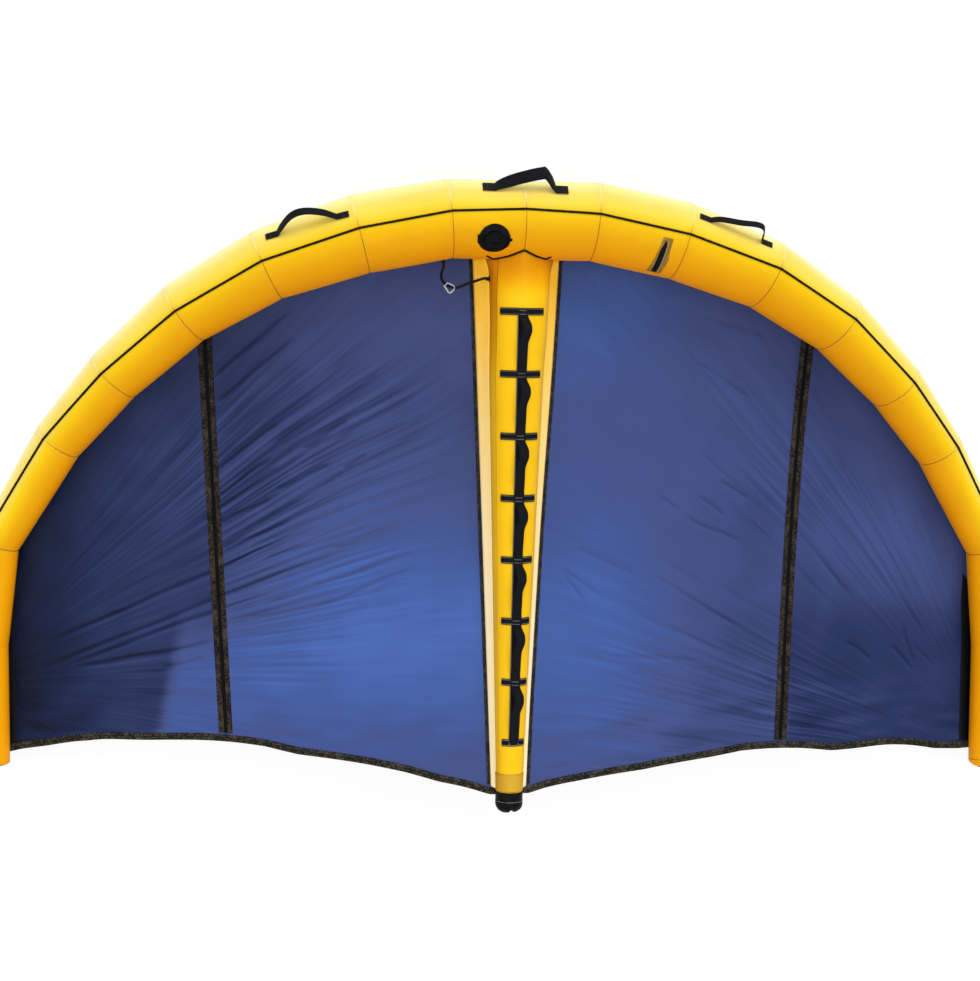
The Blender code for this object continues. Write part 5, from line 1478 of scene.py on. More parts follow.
@dataclass
class Strut:
    """The inflated strut: tapered sleeve and bladder, tail patch, rounded end cup and two hanging flaps."""

    finishes: Finishes
    form: StrutForm = StrutForm()
    tube: TubeForm = TubeForm()
    sides: int = 96
    rings: int = 90
    flap_turn: float = 97.5
    flap_fade: dict = per_side(1.0, 0.8)
    seam_turn: float = -56.0
    patch: tuple = (1824 * MM, 1884 * MM)
    cap_length: float = 72 * MM
    cap_swell: float = 2.8 * MM
    cap_wall: float = 1.8 * MM
    # The end cup's rings: share of its radius, and how far each is drawn out in millimetres
    cap_rings: tuple = ((0.985, 10), (0.99, 11), (1.0, 11), (0.97, 8), (0.90, 8), (0.78, 7), (0.62, 6),
                        (0.42, 3.5), (0.2, 1.2))
    row_crowding: float = 1.15
    flap_margin: float = 4 * MM
    flap_lift: float = 0.8 * MM
    flap_wall: float = 0.9 * MM

    def build(self) -> None:
        """Build and dress every piece."""
        self.sleeve()
        self.bladder()
        self.tail_patch()
        self.end_cup()
        for side in Side:
            self.flap(side)

    def front(self, turn: float) -> float:
        """How far back the sleeve starts at a turn, where it is sewn to the tube."""
        back, tube = self.tube.radius, self.tube.seam_radius(0) + 0.6 * MM
        for _ in range(5):
            reach = self.form.radius(back) + self.form.gusset(back, turn)
            height = self.form.height(back) + reach * math.cos(math.radians(turn))
            back = max(math.sqrt(max(tube * tube - height * height, 0.0)), self.form.saddle)
        return back

    def sleeve(self) -> None:
        """The tapered sleeve, from its saddle on the tube to its tail."""
        weaver = Weaver()
        turns = circle(self.sides)
        starts = [self.front(turn) for turn in turns]
        rows, cloth, shade, seam = [], [], [], []
        for count in range(self.rings + 1):
            share = (count / self.rings) ** self.row_crowding
            row = []
            for start, turn in zip(starts, turns[:-1]):
                back = start + (self.form.length - start) * share
                wave = noise.noise(Vector((back * 5, turn / 24, 2.0)))
                near = math.exp(-share / 0.05) + math.exp(-(1 - share) / 0.04)
                row.append(self.form.point(back, turn, 0.5 * MM * wave * (1 + 1.5 * near)))
            rows.append(row)
            backs = [start + (self.form.length - start) * share for start in starts]
            cloth.append([(back, math.radians(turn) * 0.08) for back, turn in zip(backs, turns)])
            shade.append([self.shade(back, turn) for back, turn in zip(backs, turns[:-1])])
            ridge = [min(abs((turn if turn < 180 else turn - 360) - self.seam_turn) / 14, 1.0)
                     for turn in turns[:-1]]
            seam.append([min(value, (back - start) / (20 * MM), 1.0)
                         for value, back, start in zip(ridge, backs, starts)])
        weaver.grid(rows, cloth, around=True, shade=shade, seam=seam)
        weaver.sew("strut_cloth", self.finishes.strut, "yellow_sleeve", ("strut_sleeve",), thick=1.0 * MM,
                   angle=70)

    def shade(self, back: float, turn: float) -> float:
        """Painted shade round the strut: the tube's painted shadow over its front, a deeper strip down its left side
        near the front, and darker flanks.
        """
        turn = turn - 360 if turn > 180 else turn
        # Painted shadow of the tube over the strut's front, then a painted shade strip down the left side
        tube_lee_shadow = 0.85 * (1 - step(0.13, 0.26, back))
        strip = 0.60 * step(50, 60, -turn) * (1 - step(0.25, 0.60, back))
        return float(0.06 + tube_lee_shadow + strip + 0.05 * step(20, 50, -turn) + 0.22 * step(45, 88, turn))

    def bladder(self) -> None:
        """The strut's own bladder."""
        weaver, count = Weaver(), 48
        turns = circle(count)
        rows, cloth = [], []
        for number in range(25):
            back = 170 * MM + (self.form.length - 173 * MM) * number / 24
            rows.append([self.form.point(back, turn, -2.0 * MM) for turn in turns[:-1]])
            cloth.append([(back, turn / 360) for turn in turns])
        weaver.grid(rows, cloth, around=True)
        weaver.close(0, count)
        weaver.close(count * (len(rows) - 1), count)
        weaver.sew("strut_film", self.finishes.film, "bladder_film", ("strut_bladder",), thick=FILM_WALL, angle=80)

    def tail_patch(self) -> None:
        """The second layer of cloth sewn round the strut's tail."""
        weaver = Weaver()
        turns = [-96 + 192 * count / 48 for count in range(49)]
        rows, cloth, start, end = [], [], *self.patch
        for count in range(13):
            back = start + (end - start) * count / 12
            rows.append([self.form.point(back, turn, 1.1 * MM) for turn in turns])
            cloth.append([(back, math.radians(turn) * 0.045) for turn in turns])
        width = len(turns)
        # Painted shade: the patch's colour deepens towards its sides
        weaver.grid(rows, cloth, shade=[[0.55 + 0.3 * abs(turn) / 96 for turn in turns]] * 13,
                    seam=[[min(count / 2, (12 - count) / 2, 1.0)] * width for count in range(13)])
        weaver.sew("strut_tail_patch", self.finishes.patch, "yellow_sleeve", thick=0.6 * MM, offset=1.0)

    def end_cup(self) -> None:
        """The rounded end cup: a cylinder drawn out ring by ring, pressed a little out of round."""
        radius, centre = self.form.tail_radius + self.cap_swell, STAND + Vector((
            self.form.sway(self.form.length), -self.form.length - 0.3 * MM, self.form.height(self.form.length)))
        bpy.ops.object.select_all(action="DESELECT")
        bpy.ops.mesh.primitive_cylinder_add(
            vertices=64, radius=radius, depth=8 * MM, end_fill_type="NGON",
            location=centre - Vector((0, 4 * MM, 0)), rotation=(math.pi / 2, 0, 0))
        piece = bpy.context.active_object
        piece.name = piece.data.name = "strut_end_cup"
        bpy.ops.object.transform_apply(location=True, rotation=True, scale=True)
        bpy.ops.object.mode_set(mode="EDIT")
        bpy.ops.mesh.select_mode(type="FACE")
        bpy.ops.mesh.select_all(action="DESELECT")
        bpy.ops.object.mode_set(mode="OBJECT")
        for face in piece.data.polygons:
            face.select = face.normal.y < -0.9
        bpy.ops.object.mode_set(mode="EDIT")
        before = 1.0
        for share, length in self.cap_rings:
            bpy.ops.mesh.extrude_region_move(TRANSFORM_OT_translate={"value": (0, -length * MM, 0)})
            scale = share / before
            bpy.ops.transform.resize(value=(scale, 1.0, scale))
            before = share
        bpy.ops.object.mode_set(mode="OBJECT")
        for face in piece.data.polygons:
            face.select = face.normal.y > 0.9
        bpy.ops.object.mode_set(mode="EDIT")
        bpy.ops.mesh.delete(type="FACE")
        bpy.ops.object.mode_set(mode="OBJECT")
        for vert in piece.data.vertices:
            away = vert.co - centre
            share = min(max(-away.y / self.cap_length, 0.0), 1.0)
            lump = noise.noise(away * 26) * 3.2 * MM * share + noise.noise(away * 70) * 1.0 * MM * share
            ring = Vector((away.x, 0, away.z))
            if ring.length > 1 * MM:
                vert.co += ring.normalized() * min(lump, 1.5 * MM)
            vert.co.y += 9 * MM * float(step(0.75, 1.0, share)) * math.exp(-(((away.x - 6 * MM) / (6 * MM)) ** 2))
            vert.co.y = max(vert.co.y, centre.y - self.cap_length)
        wall = piece.modifiers.new("wall", "SOLIDIFY")
        wall.thickness, wall.offset = self.cap_wall, -1.0
        soft = piece.modifiers.new("soft", "SUBSURF")
        soft.levels = soft.render_levels = 1
        apply_modifiers(piece)
        bpy.ops.object.shade_smooth_by_angle(angle=math.radians(60))
        settle(piece, self.finishes.cap_rubber, ("strut_end_cap",))
        weaver = Weaver()
        ring = [centre + Vector((radius * 1.012 * math.sin(angle), -31 * MM, radius * 1.012 * math.cos(angle)))
                for angle in (math.radians(turn) for turn in range(-180, 181, 5))]
        for start, end in zip(ring, ring[1:]):
            middle = (start + end) / 2 - centre
            weaver.stitches([start, end], Vector((middle.x, 0, middle.z)).normalized(), 3.8 * MM, 2.8 * MM,
                            1.2 * MM, 0.8 * MM)
        weaver.sew("end_cup_stitches", self.finishes.pale_thread, "black_trim", outward=False)

    def flap(self, side: Side) -> None:
        """One cloth flap, hollow between the strut and the canopy, with shallow puckers along its foot."""
        weaver = Weaver()
        front, tail = self.tube.radius - self.flap_margin, self.form.length - self.flap_margin
        rows, cloth, shade = [], [], []
        for count in range(121):
            back = front + (tail - front) * count / 120
            high = self.form.point(back, side.value * self.flap_turn, self.flap_lift)
            low = STAND + Vector((side.value * (self.form.foot(back, side) - 1.0 * MM), -back,
                                  self.form.keel(back) + self.flap_lift))
            row = []
            for number in range(9):
                share = number / 8
                hollow = math.sin(math.pi * share)
                wave = noise.noise(Vector((back * 11, share * 2, side.value * 5.0)))
                point = high.lerp(low, share)
                point += Vector((-side.value * hollow * (1.5 + 1.2 * wave) * MM, 0, -hollow * 1.5 * MM))
                row.append(point)
            rows.append(row)
            cloth.append([(back, number * 9 * MM) for number in range(9)])
            # Painted shade along the flap, from the front by the tube to the tail; the right flap fades less far
            shade.append([count / 120 * self.flap_fade[side]] * 9)
        weaver.grid(rows, cloth, shade=shade)
        weaver.sew(f"flap_cloth_{side.word}", self.finishes.flap, "pale_sleeve", (f"strut_flap_{side.word}",),
                   thick=self.flap_wall, upward=True)
        seam = Weaver()
        line = [row[1] + Vector((side.value * 0.2 * MM, 0, 0.3 * MM)) for row in rows[::4]]
        seam.stitches(line, (UP + Vector((side.value * 1.5, 0, 0))).normalized(), 8 * MM, 5 * MM)
        seam.sew(f"flap_stitches_{side.word}", self.finishes.yellow_thread, "pale_sleeve", outward=False)


@dataclass
class Canopy:
    """The canopy: inner and outer cloths on each side, centre strip, seam bands, edge tapes and hems."""

    finishes: Finishes
    form: CanopyForm = CanopyForm()
    pitch: float = 6.0 * MM
    cloth: float = 1.0 * MM
    tape_half: float = 23 * MM
    tape: float = 0.9 * MM
    hem_width: float = 24 * MM
    hem: float = 3.0 * MM
    tape_lift: float = 0.4 * MM
    tape_wall: float = 0.4 * MM
    band_wall: float = 0.5 * MM
    shine: float = 0.42
    shine_limits: tuple = (-0.16, 0.12)
    hollow_limits: tuple = (-4 * MM, 2 * MM)
    hollow: float = 26.0  # painted shade in the folds: how much darker the cloth's colour gets per metre of a fold's depth
    tip_margins: dict = per_side(9 * MM, 17 * MM)

    def build(self) -> None:
        """Build and dress every piece."""
        for side in Side:
            inner = self.panel(side, "inner", 0, self.form.seam_column, 1.74, 160)
            outer = self.panel(side, "outer", self.form.seam_column, 7, 1.45, 120)
            band = self.seam_band(side)
            hem = self.trailing_hem(side)
            edge = self.edge_tape(side)
            tip = self.tip_tape(side)
        strip = self.centre_strip()

    def placed(self, side: Side, columns: np.ndarray, rows: np.ndarray, lift: float = 0.0) -> tuple:
        """Wrinkled rows of the canopy.

        Args:
            side: Which half.
            columns: Places across, counted in columns, for each row.
            rows: Places along, as shares of the chord.
            lift: Height over the cloth, in metres.

        Returns:
            Rows of points, the smooth surface and the wrinkles' heights, fan coordinates and strengths.
        """
        found = self.form.surface(side, columns, rows)
        height, fan, strength = self.form.relief(side, found, columns, rows)
        points = [
            [STAND + Vector((side.value * across, along, low + up + lift))
             for (across, along, low), up in zip(line.tolist(), ups.tolist())]
            for line, ups in zip(found, height)]
        return points, found, height, fan, strength

    def panel(self, side: Side, place: str, first: int, last: int, length: float, count: int) -> bpy.types.Object:
        """One cloth of the canopy.

        Args:
            side: Which half.
            place: The cloth's name, inner or outer.
            first: The column where it starts.
            last: The column where it ends.
            length: Its rough length in metres.
            count: How many faces it has across.

        Returns:
            The cloth.
        """
        weaver = Weaver()
        rows = np.linspace(0, 1, int(length / self.pitch))
        columns = np.tile(np.linspace(first, last, count + 1), (len(rows), 1))
        points, found, height, fan, strength = self.placed(side, columns, rows)
        across, along = found[..., 0], found[..., 1]
        # Painted light and shade: a fold's side that leans to the light is painted lighter and the other one darker,
        # and deep folds are painted darker still
        lean = np.gradient(height, axis=0) / np.gradient(along, axis=0)
        slant = np.gradient(height, axis=1) / np.gradient(across, axis=1)
        shine = np.clip(-self.shine * (0.85 * lean + 0.25 * side.value * slant), *self.shine_limits)
        painted_tones = self.form.tone(side, across, -along) + shine + self.hollow * np.clip(height, *self.hollow_limits)
        weaver.grid(points, (found[..., :2] * (side.value, 1)).tolist(), tone=painted_tones.tolist(),
                    fan=[[tuple(triple) for triple in row] for row in fan.tolist()], crease=strength.tolist())
        piece = weaver.finish(f"canopy_cloth_{side.word}_{place}", upward=True, angle=80)
        thicken(piece, self.cloth)
        LOG.info("canopy %s %s: %d faces", side.word, place, len(piece.data.polygons))
        return settle(piece, self.finishes.canopy, (f"canopy_{side.word}_{place}",))

    def seam_band(self, side: Side) -> bpy.types.Object:
        """The doubled, zigzag-sewn band over the seam between the two cloths."""
        weaver = Weaver()
        rows = np.linspace(0.035, 0.995, 240)
        seam = self.form.seam_column
        beside = self.form.surface(side, np.tile([seam - 0.2, seam + 0.2], (len(rows), 1)), rows)[..., 0]
        span = (beside[:, 1] - beside[:, 0]) / 0.4
        shares = np.array((-1.0, -0.96, -0.6, -0.3, -0.26, 0.0, 0.26, 0.3, 0.6, 0.96, 1.0))
        lifts = (0.1, 0.9, 1.0, 1.0, 1.7, 1.8, 1.7, 1.0, 1.0, 0.9, 0.1)
        columns = seam + shares[None, :] * self.tape_half / span[:, None]
        points, cloth = [], []
        for row, line in zip(rows, self.placed(side, columns, rows, self.tape_lift)[0]):
            points.append([point + UP * self.tape * lift for point, lift in zip(line, lifts)])
            cloth.append([(share * self.tape_half, float(row) * 1.5) for share in shares.tolist()])
        weaver.grid(points, cloth)
        return weaver.sew(f"seam_band_{side.word}", self.finishes.tape, "black_trim",
                          (f"canopy_seam_band_{side.word}",), thick=self.band_wall, upward=True)

    def tip_tape(self, side: Side) -> bpy.types.Object:
        """A dark strip in the webbing finish along the cloth's edge at the tip, half hidden by the tube."""
        weaver = Weaver()
        rows = np.linspace(0.24, 0.99, 120)
        last = len(self.form.stations) - 1
        beside = self.form.surface(side, np.tile([last - 0.2, last], (len(rows), 1)), rows)[..., 0]
        span = (beside[:, 1] - beside[:, 0]) / 0.2
        tube = self.form.tube
        inner = np.interp(rows, (0, self.form.chords[self.form.knee_row], 1),
                          [tube.seam_radius(seam) for seam in (7, 8, 9)])
        inner = inner + self.tip_margins[side] * step(0.22, 0.42, rows)
        places, lifts = (0, 1, 10, 25, 40), (0.1, 0.9, 1.0, 1.0, 1.0)
        insets = inner[:, None] - np.array(places)[None, :] * MM
        columns = last - insets / span[:, None]
        points = []
        for line in self.placed(side, columns, rows, self.tape_lift)[0]:
            points.append([point + UP * self.tape * lift for point, lift in zip(line, lifts)])
        cloth = [[(across * MM, float(row) * 1.2) for across in places] for row in rows]
        weaver.grid(points, cloth)
        return weaver.sew(f"canopy_tip_tape_{side.word}", self.finishes.webbing, "black_trim",
                          thick=self.tape_wall, upward=True)

    def edge_tape(self, side: Side) -> bpy.types.Object:
        """The dark bound edge of the cloth beside a flap."""
        weaver = Weaver()
        points, cloth = [], []
        strut = self.form.strut
        for count in range(161):
            back = 112 * MM + (strut.length - 124 * MM) * count / 160
            foot, keel = strut.foot(back, side), strut.keel(back)
            row = []
            for across, up in ((0.6, 0.2), (1.2, 1.6), (6.0, 2.2), (10.4, 1.5), (11.4, 0.1)):
                row.append(STAND + Vector((side.value * (foot + across * MM), -back, keel + up * MM)))
            points.append(row)
            cloth.append([(across * MM, back) for across in (-5.4, -4.8, 0, 4.4, 5.4)])
        weaver.grid(points, cloth)
        return weaver.sew(f"canopy_edge_tape_{side.word}", self.finishes.hem, "black_trim", thick=self.tape_wall,
                          upward=True)

    def trailing_hem(self, side: Side) -> bpy.types.Object:
        """The webbing folded over the trailing edge."""
        columns = np.concatenate([np.linspace(0, 6.8, 150), np.linspace(6.82, 6.97, 6)])
        edge = self.form.surface(side, columns[None, :], np.array([1.0]))[0]
        points = [STAND + Vector((side.value * place[0], place[1], place[2] - self.hem / 2)) for place in edge]
        inner = [Vector((side.value * across * MM, points[0].y, points[0].z)) for across in (16, 27, 38, 50)]
        points = inner + points
        weaver = Weaver()
        across, path = [], []
        for index, point in enumerate(points):
            ahead = points[min(index + 1, len(points) - 1)] - points[max(index - 1, 0)]
            square = Vector((-ahead.y, ahead.x, 0)).normalized() * side.value
            if square.y > 0:
                square = -square
            across.append(square)
            path.append(point + square * (self.hem_width / 2 - 2 * MM))
        weaver.strap(path, [-arm * side.value for arm in across], self.hem_width, self.hem, 0.2 * MM)
        piece = weaver.sew(f"trailing_hem_{side.word}", self.finishes.hem, "black_trim",
                           (f"trailing_edge_hem_{side.word}",))
        sewn = Weaver()
        line = [point + arm * 3 * MM + UP * (self.hem + 0.3 * MM) for point, arm in zip(points, across)]
        sewn.stitches(line, UP, 10 * MM, 4 * MM)
        sewn.sew(f"hem_stitches_{side.word}", self.finishes.dark_thread, "black_trim", outward=False)
        return piece

    def centre_strip(self) -> bpy.types.Object:
        """The strip of canopy under the strut."""
        weaver, strut = Weaver(), self.form.strut
        start, end = 17 * MM, strut.length + self.form.overhang
        points, cloth, painted_tones, fans, depths = [], [], [], [], []
        for count in range(121):
            back = start + (end - start) * count / 120
            half = strut.foot(back) + 0.1 * MM
            row = [half * share for share in (-1, -0.75, -0.5, -0.25, 0, 0.25, 0.5, 0.75, 1)]
            points.append([STAND + Vector((across, -back, strut.keel(back) - 0.4 * MM)) for across in row])
            cloth.append([(across, -back) for across in row])
            painted_tones.append([float(self.form.tone(Side.RIGHT, np.array(0.15), np.array(back)))] * 9)
            fans.append([(across, back, 0.0) for across in row])
            depths.append([0.1] * 9)
        weaver.grid(points, cloth, tone=painted_tones, fan=fans, crease=depths)
        return weaver.sew("canopy_centre_strip", self.finishes.canopy, "blue_canopy", ("canopy_centre",),
                          thick=self.cloth, upward=True)


@dataclass
class HandleLadder:
    """The webbing ladder on the strut: a base strap, eight cross bars and seven bulging loops."""

    finishes: Finishes
    form: StrutForm = StrutForm()
    strap_width: float = 34 * MM
    strap: float = 1.8 * MM
    first: float = 294 * MM
    last_to_tail: float = 170.6 * MM
    count: int = 8
    bar_length: float = 24 * MM
    bar_turn: float = 46.0
    bar: float = 2.4 * MM
    loop_width: float = 32 * MM
    loop: float = 2.4 * MM
    rise: float = 34 * MM
    lean: float = 11 * MM
    bar_sewn: float = 8.4 * MM
    strap_sewn: float = 15 * MM
    box_half: float = 13 * MM
    shares: tuple = ((0, 0), (0.06, 0.36), (0.14, 0.70), (0.24, 0.98), (0.30, 1), (0.50, 0.74), (0.74, 0.38),
                     (0.90, 0.10), (1, 0))

    def back(self, index: int) -> float:
        """How far back a cross bar lies."""
        return self.first + (self.form.length - self.first - self.last_to_tail) / (self.count - 1) * index

    def build(self) -> None:
        """Build and dress every piece."""
        low = self.form.top + 1.4 * MM
        weaver, sewn = Weaver(), Weaver()
        run = [self.back(0) - 6 * MM + (self.back(7) - self.back(0) + 12 * MM) * share / 60 for share in range(61)]
        path = [STAND + Vector((0, -back, low)) for back in run]
        weaver.strap(path, [Vector((1, 0, 0))] * len(path), self.strap_width, self.strap)
        for index in range(self.count):
            back = self.back(index)
            off = math.degrees(math.asin(-self.form.sway(back) / self.form.radius(back)))
            arc = [self.form.point(back, off + turn, 1.2 * MM)
                   for turn in np.linspace(-self.bar_turn, self.bar_turn, 23)]
            weaver.strap(arc, [Vector((0, 1, 0))] * len(arc), self.bar_length, self.bar, 0.2 * MM)
            for offset in (-self.bar_sewn, self.bar_sewn):
                for start, end in zip(arc, arc[1:]):
                    middle = (start + end) / 2
                    normal = Vector((middle.x, 0, middle.z - STAND.z - self.form.height(back))).normalized()
                    shift = Vector((0, offset, 0)) + normal * (self.bar + 0.2 * MM)
                    sewn.stitches([start + shift, end + shift], normal, (end - start).length, 3.2 * MM, 1.5 * MM)
        for offset in (-self.strap_sewn, self.strap_sewn):
            line = [point + Vector((offset, 0, self.strap + 0.1 * MM)) for point in path]
            sewn.stitches(line, UP, 8.5 * MM, 5 * MM, 1.8 * MM)
        weaver.sew("webbing_ladder", self.finishes.webbing, "black_webbing", ("strut_handle_ladder",))
        for index in range(self.count - 1):
            self.bulge(index, low + self.bar + 1.0 * MM, sewn)
        sewn.sew("ladder_stitches", self.finishes.pale_thread, "black_webbing", outward=False)

    def bulge(self, index: int, base: float, sewn: Weaver) -> None:
        """One loop that bulges between two bars, and the box of stitches that holds it."""
        start, end = self.back(index), self.back(index + 1)
        clear = end - start - self.bar_length
        pairs = smooth_path([Vector((along, rise, 0)) for along, rise in self.shares], 6)
        points = [Vector((0, -start + 5 * MM, base - 1.5 * MM)), Vector((0, -start - 4 * MM, base))]
        for pair in pairs:
            back = start + self.bar_length / 2 + clear * pair.x
            sway = noise.noise(Vector((index * 3.1, pair.x * 1.5, 4.0))) * 2.5 * MM * pair.y
            lean = self.lean * float(step(0.0, 0.2, pair.x) * step(0.52, 0.26, pair.x))
            points.append(Vector((lean + sway, -back, base + self.rise * pair.y)))
        points.append(Vector((0, -end + 4 * MM, base)))
        points = [STAND + point for point in points]
        across = []
        for point in points:
            tilt = 0.28 * (point.z - STAND.z - base) / self.rise
            across.append(Vector((math.cos(tilt), 0, -math.sin(tilt))))
        weaver = Weaver()
        weaver.strap(points, across, self.loop_width, self.loop, 0.5 * MM)
        weaver.sew(f"webbing_loop_{index + 1}", self.finishes.webbing, "black_webbing",
                   (f"strut_loop_{index + 1}",))
        top = base + self.loop + 1.0 * MM
        for back in (start + 8.5 * MM, start - 3 * MM):
            line = [STAND + Vector((across_at, -back, top)) for across_at in (-self.box_half, self.box_half)]
            sewn.stitches(line, UP, 6 * MM, 4 * MM)


@dataclass
class TubeGrips:
    """The three webbing grips on the front of the leading edge."""

    finishes: Finishes
    form: TubeForm = TubeForm()
    rise: float = 57 * MM
    thickness: float = 3.2 * MM
    foot: float = 40 * MM
    sewn_inset: float = 3.5 * MM
    crown: float = 0.5 * MM
    lift: float = 1.5 * MM
    centre_reach: float = 119 * MM
    side_stations: tuple = (2.12, 2.82)
    centre_shares: tuple = ((0, 0), (0.10, 0.24), (0.40, 0.70), (0.72, 1.06), (0.82, 1.0), (1, 0))
    left_shares: tuple = ((0, 0), (0.10, 0.40), (0.32, 1.04), (0.54, 1.14), (0.80, 0.68), (1, 0))
    right_shares: tuple = ((0, 0), (0.16, 0.34), (0.50, 0.66), (0.80, 1), (0.93, 0.84), (1, 0))

    def build(self) -> None:
        """Build and dress every piece."""
        reach = self.form.station_at(self.centre_reach, 60)
        inner, outer = self.side_stations
        right, left = Side.RIGHT, Side.LEFT
        self.grip("centre", (left, reach, 53), (right, reach, 50), self.centre_shares, 42 * MM, 0.75)
        self.grip("left", (left, outer, 45), (left, inner, 35), self.left_shares, 26 * MM, 0.35)
        self.grip("right", (right, inner, 45), (right, outer - 0.03, 48), self.right_shares, 24 * MM, 0.15)

    def grip(self, name: str, start: tuple, end: tuple, shares: tuple, width: float, twist: float) -> None:
        """One grip: flat sewn feet and an arch between them.

        Args:
            name: Which grip.
            start: Side, station and turn round the tube (in degrees) of its first foot.
            end: The same of its last foot.
            shares: Its arch, as pairs of place along and rise.
            width: Its width in metres.
            twist: How far the arch turns its flat face upwards, from 0 to 1.
        """
        first, last = self.form.point(*start, self.lift), self.form.point(*end, self.lift)
        foot = self.foot / 2 / (last - first).length
        normal = self.form.normal(*start)
        crossing = start[0] is not end[0]
        if crossing:
            normal = Vector((0, normal.y, normal.z)).normalized()
        arch = smooth_path([Vector((along, rise, 0)) for along, rise in shares], 8)
        line = [(-foot, 0.0), (-foot / 2, 0.0), (0.0, 0.0)]
        line += [(foot + (1 - 2 * foot) * pair.x, pair.y) for pair in arch]
        line += [(1.0, 0.0), (1 + foot / 2, 0.0), (1 + foot, 0.0)]
        points, arms = [], []
        across = normal.cross(last - first).normalized()
        level = UP.cross(last - first).normalized()
        for along, rise in line:
            base = first.lerp(last, along)
            if not crossing:
                station, turn = (low + (high - low) * along for low, high in zip(start[1:], end[1:]))
                base = self.form.point(start[0], station, turn, self.lift)
            points.append(base + normal * self.rise * rise)
            arms.append(across.lerp(level, twist * min(rise * 2, 1.0)).normalized())
        weaver = Weaver()
        weaver.strap(points, arms, width, self.thickness, self.crown)
        weaver.sew(f"webbing_grip_{name}", self.finishes.webbing, "black_webbing", (f"grip_{name}",))
        sewn = Weaver()
        for ends in (points[:3], points[-3:]):
            top = [point + normal * (self.thickness + self.crown) for point in (ends[0], ends[-1])]
            inset = (top[1] - top[0]).normalized() * self.sewn_inset
            near, far = top[0] + inset, top[1] - inset
            arm = across * (width / 2 - self.sewn_inset)
            corners = [near - arm, near + arm, far + arm, far - arm]
            for low, high in ((0, 1), (1, 2), (2, 3), (3, 0)):
                sewn.stitches([corners[low], corners[high]], normal, 5 * MM, 3.6 * MM, 1.1 * MM)
        sewn.sew(f"grip_stitches_{name}", self.finishes.dark_thread, "black_webbing", outward=False)


